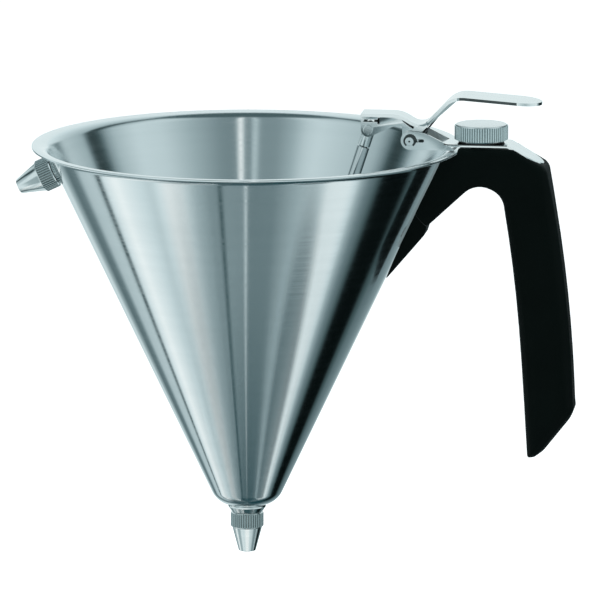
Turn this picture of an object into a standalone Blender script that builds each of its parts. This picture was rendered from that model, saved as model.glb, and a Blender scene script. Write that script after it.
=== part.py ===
"""Fondant funnel with a lever valve, at its real size.

Metres, +Z up. The cone's axis is Z, the handle points along +X and the spare nozzle along -X.
The origin is where that axis meets the stand ring that the cone can rest in. Every piece hangs
from an empty at the middle of the rim, so the values below count from there: heights from the
top of the rim, up being positive, and reaches from the axis or from the piece that is named.
"""

import math

import bmesh
import bpy
from mathutils import Euler, Matrix, Vector

# Fits
GAP = 0.0003
PIN_CLEARANCE = 0.0003
OVERRUN = 0.004

# Cone
RIM_RADIUS = 0.095
RIM_OVERHANG = 0.0053
FLARE_RADIUS = 0.005
WALL = 0.0009
CONE_DEPTH = 0.1621
CONE_FOOT_RADIUS = 0.0128
FOOT_ROUND = 0.0105
STAND_RING_RADIUS = 0.0575

# Outlet boss, with the valve's seat and the thread for the nozzle
SPIGOT_RADIUS = 0.006
SPIGOT_RISE = 0.0007
BOSS_RADIUS = 0.0084
BOSS_EDGE = 0.0008
BOSS_NECK_RADIUS = 0.007
BOSS_DROP = 0.003
SEAT_RADIUS = 0.0053
SEAT_DEPTH = 0.0035
BORE_RADIUS = 0.0033
THREAD_RADIUS = 0.005
THREAD_LENGTH = 0.004

# Nozzles
COLLAR_RADIUS = 0.0073
COLLAR_LENGTH = 0.0069
COLLAR_CHAMFER = 0.0005
COLLAR_FLUTES = 40
FLUTE_DEPTH = 0.00035
TAPER_TOP_RADIUS = 0.0067
TAPER_LENGTH = 0.0108
MAIN_TIP_RADIUS = 0.00375
MAIN_TIP_BORE = 0.0025
SPARE_TIP_RADIUS = 0.00325
SPARE_TIP_BORE = 0.0018
TIP_BORE_LENGTH = 0.003
GASKET_THICKNESS = 0.0012
GASKET_BORE = 0.0035
SPARE_DROP = 0.0126
SPARE_SEAT_RADIUS = 0.0062
SPARE_SEAT_THICKNESS = 0.0018
SPARE_SEAT_RIBS = 24

# Lever bracket: a folded plate with two ears
PIVOT_INSET = 0.0215
PIVOT_HEIGHT = 0.0045
BRACKET_SHEET = 0.0011
PLATE_HEIGHT = 0.0033
PLATE_WIDTH = 0.017
PLATE_NECK_WIDTH = 0.015
PLATE_FRONT_INSET = 0.015
PLATE_SHOULDER_INSET = 0.0055
PLATE_BEND_OUTSET = 0.0218
PLATE_END_OUTSET = 0.037
PLATE_END_DROP = 0.00857
PLATE_BEND_RADIUS = 0.003
EAR_SPACE = 0.0138
EAR_RADIUS = 0.0041
EAR_PEAK_REACH = 0.0065
EAR_PEAK_RISE = 0.0035
EAR_TOE_INSET = 0.0045
EAR_HEEL_INSET = 0.002
KEYHOLE_LENGTH = 0.0062
KEYHOLE_HEIGHT = 0.0014

# Pivot pin and its clip
PIVOT_PIN_RADIUS = 0.0019
PIVOT_HEAD_RADIUS = 0.0029
PIVOT_HEAD_THICKNESS = 0.0008
PIVOT_GROOVE_RADIUS = 0.0013
PIVOT_TAIL = 0.0007
CLIP_RADIUS = 0.0028
CLIP_THICKNESS = 0.0007
CLIP_MOUTH_DEGREES = 70

# Lever, measured from the pivot
LEVER_SHEET = 0.0013
FLANGE_SHEET = 0.0012
LEVER_WIDTH = 0.013
FLANGE_STEP = 0.0001
PAD_WIDTH = 0.0205
LEVER_FRONT_REACH = 0.0221
BOX_RISE = 0.01125
BOX_DEPTH = 0.00535
BOX_BACK_REACH = 0.0048
BOX_BEND_RADIUS = 0.013
VALLEY_REACH = 0.0047
VALLEY_RISE = 0.0055
VALLEY_RADIUS = 0.006
PAD_START_REACH = 0.0188
PAD_START_RISE = 0.0203
PAD_BEND_RADIUS = 0.011
PAD_END_REACH = 0.0576
PAD_END_RISE = 0.0174
ARM_DEPTH = 0.003
ARM_FOOT_REACH = 0.0067
ARM_FOOT_RISE = 0.0053
FLANGE_RISE_REACH = 0.0075
ARM_FLANGE_BACK = 0.0005
LUG_RADIUS = 0.0036
WIDENING_START_REACH = 0.0075
WIDENING_END_REACH = 0.021
SLOT_REACH = 0.0136
SLOT_WIDTH = 0.001
SLOT_HEIGHT = 0.0031
SLOT_DROP = 0.003
SLIT_HEIGHT = 0.0011
SLIT_LENGTH = 0.0066
SLIT_START_REACH = 0.0046

# Lever spring
SPRING_WIRE = 0.0008
SPRING_COIL_RADIUS = 0.003
SPRING_TURNS = 4
SPRING_PITCH = 0.00132
SPRING_LEVER_LEG_SHARE = 0.38
SPRING_PLATE_LEG = 0.0125
POINTS_A_TURN = 10

# Rod pin, rod eye, rod and ball
ROD_PIN_REACH = 0.0187
ROD_PIN_RISE = 0.0043
ROD_PIN_RADIUS = 0.0015
ROD_PIN_HEAD_RADIUS = 0.0021
ROD_PIN_HEAD = 0.0006
ROD_RADIUS = 0.00275
EYE_RADIUS = 0.0033
EYE_THICKNESS = 0.0055
EYE_LENGTH = 0.0085
ROD_SPIGOT_RADIUS = 0.0014
ROD_SPIGOT_LENGTH = 0.0035
ROD_CHAMFER = 0.0004
BALL_RADIUS = 0.005

# Flow knob, its stud, its ring and the bush that the stud screws into
KNOB_OUTSET = 0.0092
KNOB_RADIUS = 0.0118
KNOB_HEIGHT = 0.0062
KNOB_STANDOFF = 0.002
KNOB_CHAMFER = 0.0006
KNOB_FLUTES = 64
KNOB_FLUTE_DEPTH = 0.0004
KNOB_ROOF = 0.0018
STUD_RADIUS = 0.003
STUD_LENGTH = 0.0165
STUD_CHAMFER = 0.0005
BUSH_RADIUS = 0.0045
BUSH_FLANGE_RADIUS = 0.0062
BUSH_FLANGE = 0.0007
BUSH_LENGTH = 0.0145
RING_RADIUS = 0.0102

# Handle
HANDLE_WIDTH = 0.024
HANDLE_EDGE = 0.0025
GRIP_EDGE = 0.0065
GRIP_DEPTH = 0.0222
GRIP_BULGE = 0.0022
SLOPE_LIP = 0.0018
SLOPE_CORNER = 0.0014
SLOPE_EDGE = 0.0045
GRIP_END_OUTSET = 0.0508
GRIP_HEEL_DROP = 0.1112
GRIP_TIP_DROP = 0.1368
GRIP_TIP_OUTSET = 0.0306
GRIP_END_EDGE = 0.0022
GRIP_END_DOME = 0.0014
ARCH_OUTSET = 0.0098
ARCH_DROP = 0.0254
LEG_TOP_DROP = 0.0306
LEG_THICKNESS = 0.0072
LEG_TOP_STANDOFF = 0.0067
LEG_CORNER_DROP = 0.0348
LEG_TIP_DROP = 0.0576
LEG_TIP_THICKNESS = 0.0006
LEG_WIDTH = 0.020
LEG_TIP_WIDTH = 0.008
LEG_EDGE = 0.002

# Tang inside the handle, and the screw that pulls the leg onto it
TANG_THICKNESS = 0.002
TANG_WIDTH = 0.010
TANG_FOOT_DROP = 0.044
TANG_BEND_RADIUS = 0.004
TANG_LEVEL_DROP = 0.0065
TANG_END_OUTSET = 0.0165
SCREW_DROP = 0.039
SCREW_HEAD_RADIUS = 0.0027
SCREW_HEAD = 0.0016
SCREW_SINK = 0.0014
SCREW_RADIUS = 0.0015

# How far down the grip, and from the leg's corner to its tip, their sections lie
GRIP_STATION_SHARES = (0.15, 0.3, 0.45, 0.6, 0.75, 0.88, 1)
GRIP_SLANT_POWER = 6
LEG_STATION_SHARES = (0, 0.25, 0.5, 0.75, 1)

# Facets, views and shading
CONE_STEPS = 96
FINE_STEPS = 48
PIN_STEPS = 24
MERGE = 0.000001
SHARP_DEGREES = 35
SIDE_VIEW = (math.pi / 2, 0, 0)
ACROSS = (math.pi / 2, 0, 0)

STEEL_COLOUR = (0.62, 0.66, 0.67)
DARK_STEEL_COLOUR = (0.45, 0.48, 0.49)
PLATED_COLOUR = (0.78, 0.81, 0.81)
BLACK_COLOUR = (0.012, 0.014, 0.014)
RUBBER_COLOUR = (0.03, 0.03, 0.032)

# Places that more than one piece needs
CONE_TOP_RADIUS = RIM_RADIUS - RIM_OVERHANG
CONE_ANGLE = math.atan((CONE_TOP_RADIUS - CONE_FOOT_RADIUS) / CONE_DEPTH)
RIM_HEIGHT = (CONE_TOP_RADIUS - STAND_RING_RADIUS) / math.tan(CONE_ANGLE)
PIVOT = Vector((RIM_RADIUS - PIVOT_INSET, 0, PIVOT_HEIGHT))
ROD_PIN = PIVOT + Vector((-ROD_PIN_REACH, 0, ROD_PIN_RISE))
KNOB_REACH = RIM_RADIUS + KNOB_OUTSET
KNOB_UNDERSIDE = PLATE_HEIGHT + KNOB_STANDOFF
BRACKET_UNDERSIDE = PLATE_HEIGHT - BRACKET_SHEET
HANDLE_TOP = BRACKET_UNDERSIDE - GAP
BOSS_SHOULDER = -CONE_DEPTH - BOSS_DROP
SPIGOT_TOP = -CONE_DEPTH + WALL + SPIGOT_RISE
SOCKET_RADIUS = THREAD_RADIUS + PIN_CLEARANCE
SOCKET_DEPTH = THREAD_LENGTH + GASKET_THICKNESS + GAP
SLOPE_ANGLE = math.atan2(PLATE_END_DROP, PLATE_END_OUTSET - PLATE_BEND_OUTSET)


def clear_scene():
    for obj in list(bpy.data.objects):
        bpy.data.objects.remove(obj, do_unlink=True)


def new_collection(name):
    collection = bpy.data.collections.new(name)
    bpy.context.scene.collection.children.link(collection)
    return collection


def new_empty(name, place, parent=None):
    """An empty at a place in the rim's frame, which the pieces of one body hang from."""
    empty = bpy.data.objects.new(name, None)
    PARTS.objects.link(empty)
    empty.location = place
    empty.parent = parent
    return empty


def new_material(name, colour, roughness, metallic):
    material = bpy.data.materials.new(name)
    material.use_nodes = True
    shader = material.node_tree.nodes["Principled BSDF"]
    shader.inputs["Base Color"].default_value = (*colour, 1)
    shader.inputs["Roughness"].default_value = roughness
    shader.inputs["Metallic"].default_value = metallic
    return material


def hang(obj, parent):
    """Parents an object that was made in the rim's frame, and leaves it where it is."""
    obj.parent = parent
    if parent is not RIM:
        obj.matrix_parent_inverse = Matrix.Translation(-parent.location)


def keep(obj, parent, material):
    """Makes an object a piece of the funnel."""
    PARTS.objects.link(obj)
    hang(obj, parent)
    obj.data.materials.clear()
    obj.data.materials.append(material)
    return obj


def cut(piece, cutter, operation="DIFFERENCE"):
    """Cuts a piece with another shape, or joins or keeps the part that they share."""
    if cutter.name not in CUTTERS.objects:
        CUTTERS.objects.link(cutter)
        hang(cutter, RIM)
    cutter.hide_render = True
    cutter.display_type = "WIRE"
    boolean = piece.modifiers.new(cutter.name, "BOOLEAN")
    boolean.operation = operation
    boolean.solver = "EXACT"
    boolean.object = cutter


# Shapes


def turned(name, profile, steps=FINE_STEPS, place=(0, 0, 0), tilt=(0, 0, 0)):
    """A profile of (radius, height) points turned about Z. It runs down the outer side and up the bore."""
    mesh = bpy.data.meshes.new(name)
    points = [(radius, 0, height) for radius, height in profile]
    edges = [(i, i + 1) for i in range(len(points) - 1)]
    if profile[0][0] > 0:
        edges.append((len(points) - 1, 0))
    mesh.from_pydata(points, edges, [])
    obj = bpy.data.objects.new(name, mesh)
    turn = obj.modifiers.new("turn", "SCREW")
    turn.steps = turn.render_steps = steps
    turn.use_merge_vertices = True
    turn.merge_threshold = MERGE
    obj.location = place
    obj.rotation_euler = tilt
    return obj


def slab(name, outline, thickness, place=(0, 0, 0), tilt=(0, 0, 0)):
    """A flat outline given a thickness, half of it to each side."""
    curve = bpy.data.curves.new(name, "CURVE")
    curve.dimensions = "2D"
    curve.fill_mode = "BOTH"
    curve.extrude = thickness / 2
    spline = curve.splines.new("POLY")
    spline.points.add(len(outline) - 1)
    for point, (x, y) in zip(spline.points, outline):
        point.co = (x, y, 0, 1)
    spline.use_cyclic_u = True
    return solid_from_curve(name, curve, place, tilt)


def wire(name, points, radius):
    """A round wire along a list of points."""
    curve = bpy.data.curves.new(name, "CURVE")
    curve.dimensions = "3D"
    curve.bevel_depth = radius
    curve.bevel_resolution = 1
    curve.use_fill_caps = True
    spline = curve.splines.new("POLY")
    spline.points.add(len(points) - 1)
    for point, place in zip(spline.points, points):
        point.co = (*place, 1)
    return solid_from_curve(name, curve, (0, 0, 0), (0, 0, 0))


def solid_from_curve(name, curve, place, tilt):
    guide = bpy.data.objects.new(name + "_guide", curve)
    CUTTERS.objects.link(guide)
    graph = bpy.context.evaluated_depsgraph_get()
    mesh = bpy.data.meshes.new_from_object(guide.evaluated_get(graph))
    bpy.data.objects.remove(guide)
    weld = bmesh.new()
    weld.from_mesh(mesh)
    bmesh.ops.remove_doubles(weld, verts=weld.verts, dist=MERGE)
    bmesh.ops.recalc_face_normals(weld, faces=weld.faces)
    weld.to_mesh(mesh)
    weld.free()
    mesh.name = name
    obj = bpy.data.objects.new(name, mesh)
    obj.location = place
    obj.rotation_euler = tilt
    return obj


def side_slab(name, outline, thickness, middle=0):
    """A slab whose outline is drawn in X and Z, seen from the side."""
    return slab(name, outline, thickness, (0, middle, 0), SIDE_VIEW)


def fluted(name, radius, depth, flutes, bottom, top, place=(0, 0, 0), tilt=(0, 0, 0)):
    """A disc with straight flutes round its edge, which stands for a knurl."""
    outline = []
    for i in range(2 * flutes):
        reach = radius - (i % 2) * depth
        angle = math.pi * i / flutes
        outline.append((reach * math.cos(angle), reach * math.sin(angle)))
    disc = slab(name, outline, top - bottom, place, tilt)
    disc.data.transform(Matrix.Translation((0, 0, (top + bottom) / 2)))
    return disc


def arc(centre, radius, start, end, count=8):
    """Points on an arc, from one angle in degrees to another."""
    points = []
    for i in range(count + 1):
        angle = math.radians(start + (end - start) * i / count)
        points.append((centre[0] + radius * math.cos(angle), centre[1] + radius * math.sin(angle)))
    return points


def rounded(corners, count=5):
    """A path through (x, y, radius) corners, each rounded by its own radius."""
    path = []
    for i, (x, y, radius) in enumerate(corners):
        if not radius:
            path.append((x, y))
            continue
        corner = Vector((x, y))
        back = (Vector(corners[i - 1][:2]) - corner).normalized()
        on = (Vector(corners[(i + 1) % len(corners)][:2]) - corner).normalized()
        half = back.angle(on) / 2
        centre = corner + (back + on).normalized() * radius / math.sin(half)
        start = corner + back * radius / math.tan(half) - centre
        end = corner + on * radius / math.tan(half) - centre
        first = math.degrees(math.atan2(start.y, start.x))
        swing = math.degrees(end.angle_signed(start))
        path += arc(centre, radius, first, first + swing, count)
    return path


def shifted(path, distance):
    """The path moved sideways, to its left for a positive distance, with its bends mitred."""
    moved = []
    for i, point in enumerate(path):
        here = Vector(point)
        back = (here - Vector(path[i - 1])).normalized() if i else None
        on = (Vector(path[i + 1]) - here).normalized() if i + 1 < len(path) else None
        back = back or on
        on = on or back
        middle = (back + on).normalized()
        left = Vector((-middle.y, middle.x))
        moved.append(tuple(here + left * distance / max(middle.dot(back), 0.5)))
    return moved


def ribbon(path, thickness):
    """The outline of a sheet whose upper side is the path, which runs towards +X."""
    return path + shifted(path, -thickness)[::-1]


def mirrored(half):
    """A plan outline from its half at +Y, listed from -X to +X."""
    return half + [(x, -y) for x, y in reversed(half) if y]


def section(half_depth, half_width, radius, count=3):
    """A rounded rectangle as (depth, width) points."""
    radius = min(radius, 0.9 * half_depth, 0.9 * half_width)
    points = []
    for quarter, (a, b) in enumerate(((1, 1), (-1, 1), (-1, -1), (1, -1))):
        centre = (a * (half_depth - radius), b * (half_width - radius))
        points += arc(centre, radius, 90 * quarter, 90 * quarter + 90, count)
    return points


def loft(name, stations):
    """A solid through rounded rectangles. Each station is (inner point, outer point, width, edge radius)."""
    build = bmesh.new()
    rings = []
    for inner, outer, width, radius in stations:
        low, high = Vector((inner[0], 0, inner[1])), Vector((outer[0], 0, outer[1]))
        middle = (low + high) / 2
        across = (high - low).normalized()
        ring = []
        for depth, side in section((high - low).length / 2, width / 2, radius):
            ring.append(build.verts.new(middle + across * depth + Vector((0, side, 0))))
        rings.append(ring)
    for before, after in zip(rings, rings[1:]):
        for i in range(len(before)):
            j = (i + 1) % len(before)
            build.faces.new((before[i], before[j], after[j], after[i]))
    build.faces.new(rings[0])
    build.faces.new(rings[-1])
    bmesh.ops.recalc_face_normals(build, faces=build.faces)
    mesh = bpy.data.meshes.new(name)
    build.to_mesh(mesh)
    build.free()
    return bpy.data.objects.new(name, mesh)


# The cone's lines, which the handle, the boss and the spare nozzle follow


def wall_radius(height):
    """The cone's outer radius at a height, if its wall ran straight."""
    return CONE_TOP_RADIUS + height * math.tan(CONE_ANGLE)


def wall_point(drop, standoff, side=1):
    """A point (x, z) off the outside of the wall, at right angles to it."""
    reach = wall_radius(-drop) + standoff * math.cos(CONE_ANGLE)
    return (side * reach, -drop - standoff * math.sin(CONE_ANGLE))


def flare_centre():
    corner = wall_radius(-WALL)
    run = FLARE_RADIUS * math.tan((math.pi / 2 - CONE_ANGLE) / 2)
    return (corner + run, -WALL - FLARE_RADIUS)


def foot_centre():
    run = FOOT_ROUND * math.tan((math.pi / 2 - CONE_ANGLE) / 2)
    return (CONE_FOOT_RADIUS - run, FOOT_ROUND - CONE_DEPTH)


def foot_underside(radius):
    """The height of the cone's rounded bottom at a radius, from outside."""
    reach, height = foot_centre()
    return height - math.sqrt(FOOT_ROUND**2 - (radius - reach) ** 2)


def foot_arc(radius, hole):
    """The rounded bottom from the wall in to the outlet's hole."""
    centre = foot_centre()
    end = -math.degrees(math.acos((hole - centre[0]) / radius))
    return arc(centre, radius, -math.degrees(CONE_ANGLE), end, 6)


def wall_cutter(name):
    """What the cone and its rim take up, with a gap round it."""
    flare = arc(flare_centre(), FLARE_RADIUS - GAP, 90, 180 - math.degrees(CONE_ANGLE), 6)
    end = GRIP_HEEL_DROP
    reach = wall_radius(-end) + GAP / math.cos(CONE_ANGLE)
    top = PLATE_HEIGHT + OVERRUN
    edge = RIM_RADIUS + GAP
    profile = [(0, top), (edge, top), (edge, -WALL - GAP), *flare, (reach, -end), (0, -end)]
    return turned(name, profile, CONE_STEPS)


def build_cone():
    hole = SPIGOT_RADIUS + GAP
    lean = 180 - math.degrees(CONE_ANGLE)
    outside = [(RIM_RADIUS, -WALL), *arc(flare_centre(), FLARE_RADIUS, 90, lean, 6)]
    outside += foot_arc(FOOT_ROUND, hole)
    inside = foot_arc(FOOT_ROUND - WALL, hole)[::-1]
    inside += arc(flare_centre(), FLARE_RADIUS + WALL, lean, 90, 6)
    inside.append((RIM_RADIUS, 0))
    keep(turned("funnel_cone", outside + inside, CONE_STEPS), RIM, STEEL)


def build_outlet():
    seat_floor = SPIGOT_TOP - SEAT_DEPTH
    thread_end = BOSS_SHOULDER - THREAD_LENGTH
    profile = [
        (SPIGOT_RADIUS, SPIGOT_TOP),
        (SPIGOT_RADIUS, foot_underside(SPIGOT_RADIUS) - GAP),
        (BOSS_RADIUS, foot_underside(BOSS_RADIUS) - GAP),
        (BOSS_RADIUS, foot_underside(BOSS_RADIUS) - GAP - BOSS_EDGE),
        (BOSS_NECK_RADIUS, BOSS_SHOULDER),
        (THREAD_RADIUS, BOSS_SHOULDER),
        (THREAD_RADIUS, thread_end),
        (BORE_RADIUS, thread_end),
        (BORE_RADIUS, seat_floor),
        (SEAT_RADIUS, SPIGOT_TOP),
    ]
    keep(turned("outlet_boss", profile), RIM, PLATED)


def build_nozzle(name, tip_radius, tip_bore, empty, tilt):
    """A nozzle hangs from its empty: its collar's rear face is there, and it points down its own -Z."""
    place = empty.location
    floor = -SOCKET_DEPTH
    taper_top = -COLLAR_LENGTH
    tip = taper_top - TAPER_LENGTH
    outside = [
        (0, 0),
        (COLLAR_RADIUS - FLUTE_DEPTH - COLLAR_CHAMFER, 0),
        (COLLAR_RADIUS - FLUTE_DEPTH, -COLLAR_CHAMFER),
        (COLLAR_RADIUS - FLUTE_DEPTH, taper_top + COLLAR_CHAMFER),
        (TAPER_TOP_RADIUS, taper_top),
        (tip_radius, tip),
        (0, tip),
    ]
    bore = [
        (0, OVERRUN),
        (SOCKET_RADIUS, OVERRUN),
        (SOCKET_RADIUS, floor),
        (GASKET_BORE, floor),
        (tip_bore, tip + TIP_BORE_LENGTH),
        (tip_bore, tip - OVERRUN),
        (0, tip - OVERRUN),
    ]
    nozzle = turned(name, outside, FINE_STEPS, place, tilt)
    knurl = fluted(
        name + "_knurl",
        COLLAR_RADIUS,
        FLUTE_DEPTH,
        COLLAR_FLUTES,
        taper_top + COLLAR_CHAMFER,
        -COLLAR_CHAMFER,
        place,
        tilt,
    )
    cut(nozzle, knurl, "UNION")
    cut(nozzle, turned(name + "_bore", bore, FINE_STEPS, place, tilt))
    keep(nozzle, empty, PLATED)
    gasket = [
        (THREAD_RADIUS, floor + GAP + GASKET_THICKNESS),
        (THREAD_RADIUS, floor + GAP),
        (GASKET_BORE, floor + GAP),
        (GASKET_BORE, floor + GAP + GASKET_THICKNESS),
    ]
    keep(turned(name + "_gasket", gasket, FINE_STEPS, place, tilt), empty, RUBBER)


def build_spare_stud(tilt):
    """A ribbed seat on the wall, opposite the handle, with the thread that the spare nozzle hangs on."""
    reach, height = wall_point(SPARE_DROP, GAP, -1)
    place = (reach, 0, height)
    bottom = -SPARE_SEAT_THICKNESS
    ribs = fluted(
        "spare_stud", SPARE_SEAT_RADIUS, FLUTE_DEPTH, SPARE_SEAT_RIBS, bottom, 0, place, tilt
    )
    thread = [
        (0, bottom / 2),
        (THREAD_RADIUS, bottom / 2),
        (THREAD_RADIUS, bottom - THREAD_LENGTH),
        (0, bottom - THREAD_LENGTH),
    ]
    cut(ribs, turned("spare_thread", thread, FINE_STEPS, place, tilt), "UNION")
    keep(ribs, RIM, PLATED)


def plate_path():
    """The bracket's upper side from its front, over the rim and down the handle's slope."""
    return rounded(
        [
            (RIM_RADIUS - PLATE_FRONT_INSET, PLATE_HEIGHT, 0),
            (RIM_RADIUS + PLATE_BEND_OUTSET, PLATE_HEIGHT, PLATE_BEND_RADIUS),
            (RIM_RADIUS + PLATE_END_OUTSET, PLATE_HEIGHT - PLATE_END_DROP, 0),
        ]
    )


def plate_plan(margin):
    """The plate from above: a neck between the ears, shoulders, and a round end."""
    half = PLATE_WIDTH / 2 + margin
    neck = PLATE_NECK_WIDTH / 2 + margin
    front = RIM_RADIUS - PLATE_FRONT_INSET - margin
    shoulder = RIM_RADIUS - PLATE_SHOULDER_INSET
    end = (RIM_RADIUS + PLATE_END_OUTSET - PLATE_WIDTH / 2, 0)
    sides = [(front, neck), (shoulder, neck), (shoulder + (half - neck), half)]
    return mirrored(sides + arc(end, half, 90, 0, 10))


def plate_sheet(name, margin):
    """The plate as its side view and its plan share it, larger all round by a margin."""
    path = shifted(plate_path(), margin)
    reach = RIM_RADIUS + PLATE_END_OUTSET
    if margin:
        along = Vector((math.cos(SLOPE_ANGLE), -math.sin(SLOPE_ANGLE))) * OVERRUN
        path.append(tuple(Vector(path[-1]) + along))
    side = side_slab(name, ribbon(path, BRACKET_SHEET + 2 * margin), PLATE_WIDTH + OVERRUN)
    plan = slab(name + "_plan", plate_plan(margin), 2 * reach)
    cut(side, plan, "INTERSECT")
    return side


def ear_outline():
    """One ear: round about the pivot, highest just behind it, and tapered into the plate."""
    pivot = (PIVOT.x, PIVOT.z)
    peak = (PIVOT.x + EAR_PEAK_REACH, PIVOT.z + EAR_PEAK_RISE)
    toe = (RIM_RADIUS - EAR_TOE_INSET, BRACKET_UNDERSIDE + BRACKET_SHEET / 2)
    heel = (RIM_RADIUS - EAR_HEEL_INSET, PIVOT.z - EAR_RADIUS)
    return arc(pivot, EAR_RADIUS, 270, 90, 12) + [peak, toe, heel]


def build_bracket():
    bracket = plate_sheet("lever_bracket", 0)
    offset = EAR_SPACE / 2 + BRACKET_SHEET / 2
    for side, name in ((-1, "ear_near"), (1, "ear_far")):
        cut(bracket, side_slab(name, ear_outline(), BRACKET_SHEET, side * offset), "UNION")
    hole = PIVOT_PIN_RADIUS + PIN_CLEARANCE
    width = EAR_SPACE + OVERRUN
    cut(bracket, cross_pin("pivot_hole", PIVOT, hole, width))
    reach = PIVOT.x + KEYHOLE_LENGTH
    keyhole = rounded(
        [
            (PIVOT.x, PIVOT.z - KEYHOLE_HEIGHT / 2, 0),
            (reach, PIVOT.z - KEYHOLE_HEIGHT / 2, KEYHOLE_HEIGHT / 2.5),
            (reach, PIVOT.z + KEYHOLE_HEIGHT / 2, KEYHOLE_HEIGHT / 2.5),
            (PIVOT.x, PIVOT.z + KEYHOLE_HEIGHT / 2, 0),
        ],
        3,
    )
    cut(bracket, side_slab("keyhole", keyhole, width))
    bush = BUSH_RADIUS + PIN_CLEARANCE
    cut(bracket, upright("bush_hole_in_plate", bush, -OVERRUN, PLATE_HEIGHT + OVERRUN))
    keep(bracket, RIM, STEEL)


def cross_pin(name, centre, radius, width):
    """A cylinder along Y."""
    profile = [(0, width / 2), (radius, width / 2), (radius, -width / 2), (0, -width / 2)]
    return turned(name, profile, PIN_STEPS, (centre.x, 0, centre.z), ACROSS)


def upright(name, radius, bottom, top):
    """A cylinder on the knob's axis."""
    profile = [(0, top), (radius, top), (radius, bottom), (0, bottom)]
    return turned(name, profile, PIN_STEPS, (KNOB_REACH, 0, 0))


def build_pivot_pin():
    """The pin's head is outside the far ear, and its clip sits in a groove outside the near one."""
    ear = EAR_SPACE / 2 + BRACKET_SHEET + GAP
    groove_end = ear + CLIP_THICKNESS + 2 * GAP
    profile = [
        (0, groove_end + PIVOT_TAIL),
        (PIVOT_PIN_RADIUS, groove_end + PIVOT_TAIL),
        (PIVOT_PIN_RADIUS, groove_end),
        (PIVOT_GROOVE_RADIUS, groove_end),
        (PIVOT_GROOVE_RADIUS, ear),
        (PIVOT_PIN_RADIUS, ear),
        (PIVOT_PIN_RADIUS, -ear),
        (PIVOT_HEAD_RADIUS, -ear),
        (PIVOT_HEAD_RADIUS, -ear - PIVOT_HEAD_THICKNESS),
        (0, -ear - PIVOT_HEAD_THICKNESS),
    ]
    keep(turned("pivot_pin", profile, PIN_STEPS, PIVOT, ACROSS), RIM, PLATED)
    mouth = CLIP_MOUTH_DEGREES / 2
    outer = arc((0, 0), CLIP_RADIUS, mouth - 90, 270 - mouth, 20)
    inner = arc((0, 0), PIVOT_GROOVE_RADIUS + GAP, 270 - mouth, mouth - 90, 20)
    place = (PIVOT.x, -ear - GAP - CLIP_THICKNESS / 2, PIVOT.z)
    keep(slab("pivot_clip", outer + inner, CLIP_THICKNESS, place, SIDE_VIEW), RIM, DARK_STEEL)


def lever_path():
    """The lever's upper side: box, valley, rising arm and thumb pad."""
    return rounded(
        [
            (PIVOT.x - LEVER_FRONT_REACH, PIVOT.z + BOX_RISE, 0),
            (PIVOT.x - BOX_BACK_REACH, PIVOT.z + BOX_RISE, BOX_BEND_RADIUS),
            (PIVOT.x + VALLEY_REACH, PIVOT.z + VALLEY_RISE, VALLEY_RADIUS),
            (PIVOT.x + PAD_START_REACH, PIVOT.z + PAD_START_RISE, PAD_BEND_RADIUS),
            (PIVOT.x + PAD_END_REACH, PIVOT.z + PAD_END_RISE, 0),
        ]
    )


def lever_plan():
    """The lever from above: narrow over the box, wide with a round end at the pad."""
    narrow, wide = LEVER_WIDTH / 2, PAD_WIDTH / 2
    sides = [
        (PIVOT.x - LEVER_FRONT_REACH, narrow),
        (PIVOT.x + WIDENING_START_REACH, narrow),
        (PIVOT.x + WIDENING_END_REACH, wide),
    ]
    end = (PIVOT.x + PAD_END_REACH - wide, 0)
    return mirrored(sides + arc(end, wide, 90, 0, 10))


def flange_outline():
    """One flange: lobe round the rod pin, box side, lug round the pivot, and the arm's stiffener."""
    top = PIVOT.z + BOX_RISE - LEVER_SHEET / 2
    bottom = PIVOT.z + BOX_RISE - BOX_DEPTH
    front = PIVOT.x - LEVER_FRONT_REACH + FLANGE_STEP
    back = PIVOT.x + PAD_START_REACH
    upper = [p for p in shifted(lever_path(), -LEVER_SHEET / 2) if p[0] < back][1:]
    rise = arm_direction()
    shoulder = (back + rise.y * ARM_DEPTH, PIVOT.z + PAD_START_RISE - rise.x * ARM_DEPTH)
    tail = (upper[-1][0] + ARM_FLANGE_BACK, upper[-1][1])
    foot = (PIVOT.x + ARM_FOOT_REACH, PIVOT.z + ARM_FOOT_RISE)
    lobe = LEVER_FRONT_REACH - ROD_PIN_REACH - FLANGE_STEP
    lower = [tail, shoulder, foot]
    lower += arc((PIVOT.x, PIVOT.z), LUG_RADIUS, 30, -180, 12)
    lower.append((PIVOT.x - LUG_RADIUS, bottom))
    lower.append((PIVOT.x - FLANGE_RISE_REACH, bottom))
    lower += arc((ROD_PIN.x, ROD_PIN.z), lobe, -50, -180, 8)
    return [(front, top)] + upper + lower


def arm_direction():
    """The unit vector up the lever's arm, in X and Z."""
    return Vector((PAD_START_REACH - VALLEY_REACH, PAD_START_RISE - VALLEY_RISE)).normalized()


def build_lever():
    lever = side_slab("lever", ribbon(lever_path(), LEVER_SHEET), PAD_WIDTH + OVERRUN)
    cut(lever, slab("lever_plan", lever_plan(), 2 * RIM_RADIUS), "INTERSECT")
    offset = LEVER_WIDTH / 2 - FLANGE_STEP - FLANGE_SHEET / 2
    for side, name in ((-1, "flange_near"), (1, "flange_far")):
        cut(lever, side_slab(name, flange_outline(), FLANGE_SHEET, side * offset), "UNION")
    width = LEVER_WIDTH + OVERRUN
    hole = PIVOT_PIN_RADIUS + PIN_CLEARANCE
    cut(lever, cross_pin("lug_hole", PIVOT, hole, width))
    cut(lever, cross_pin("rod_pin_hole", ROD_PIN, ROD_PIN_RADIUS + PIN_CLEARANCE, width))
    for name, outline in (("lever_slot", slot_outline()), ("lever_slit", slit_outline())):
        for side in (-1, 1):
            cut(lever, side_slab(name, outline, FLANGE_SHEET + OVERRUN / 2, side * offset))
    keep(lever, LEVER_PIVOT, PLATED)


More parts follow.
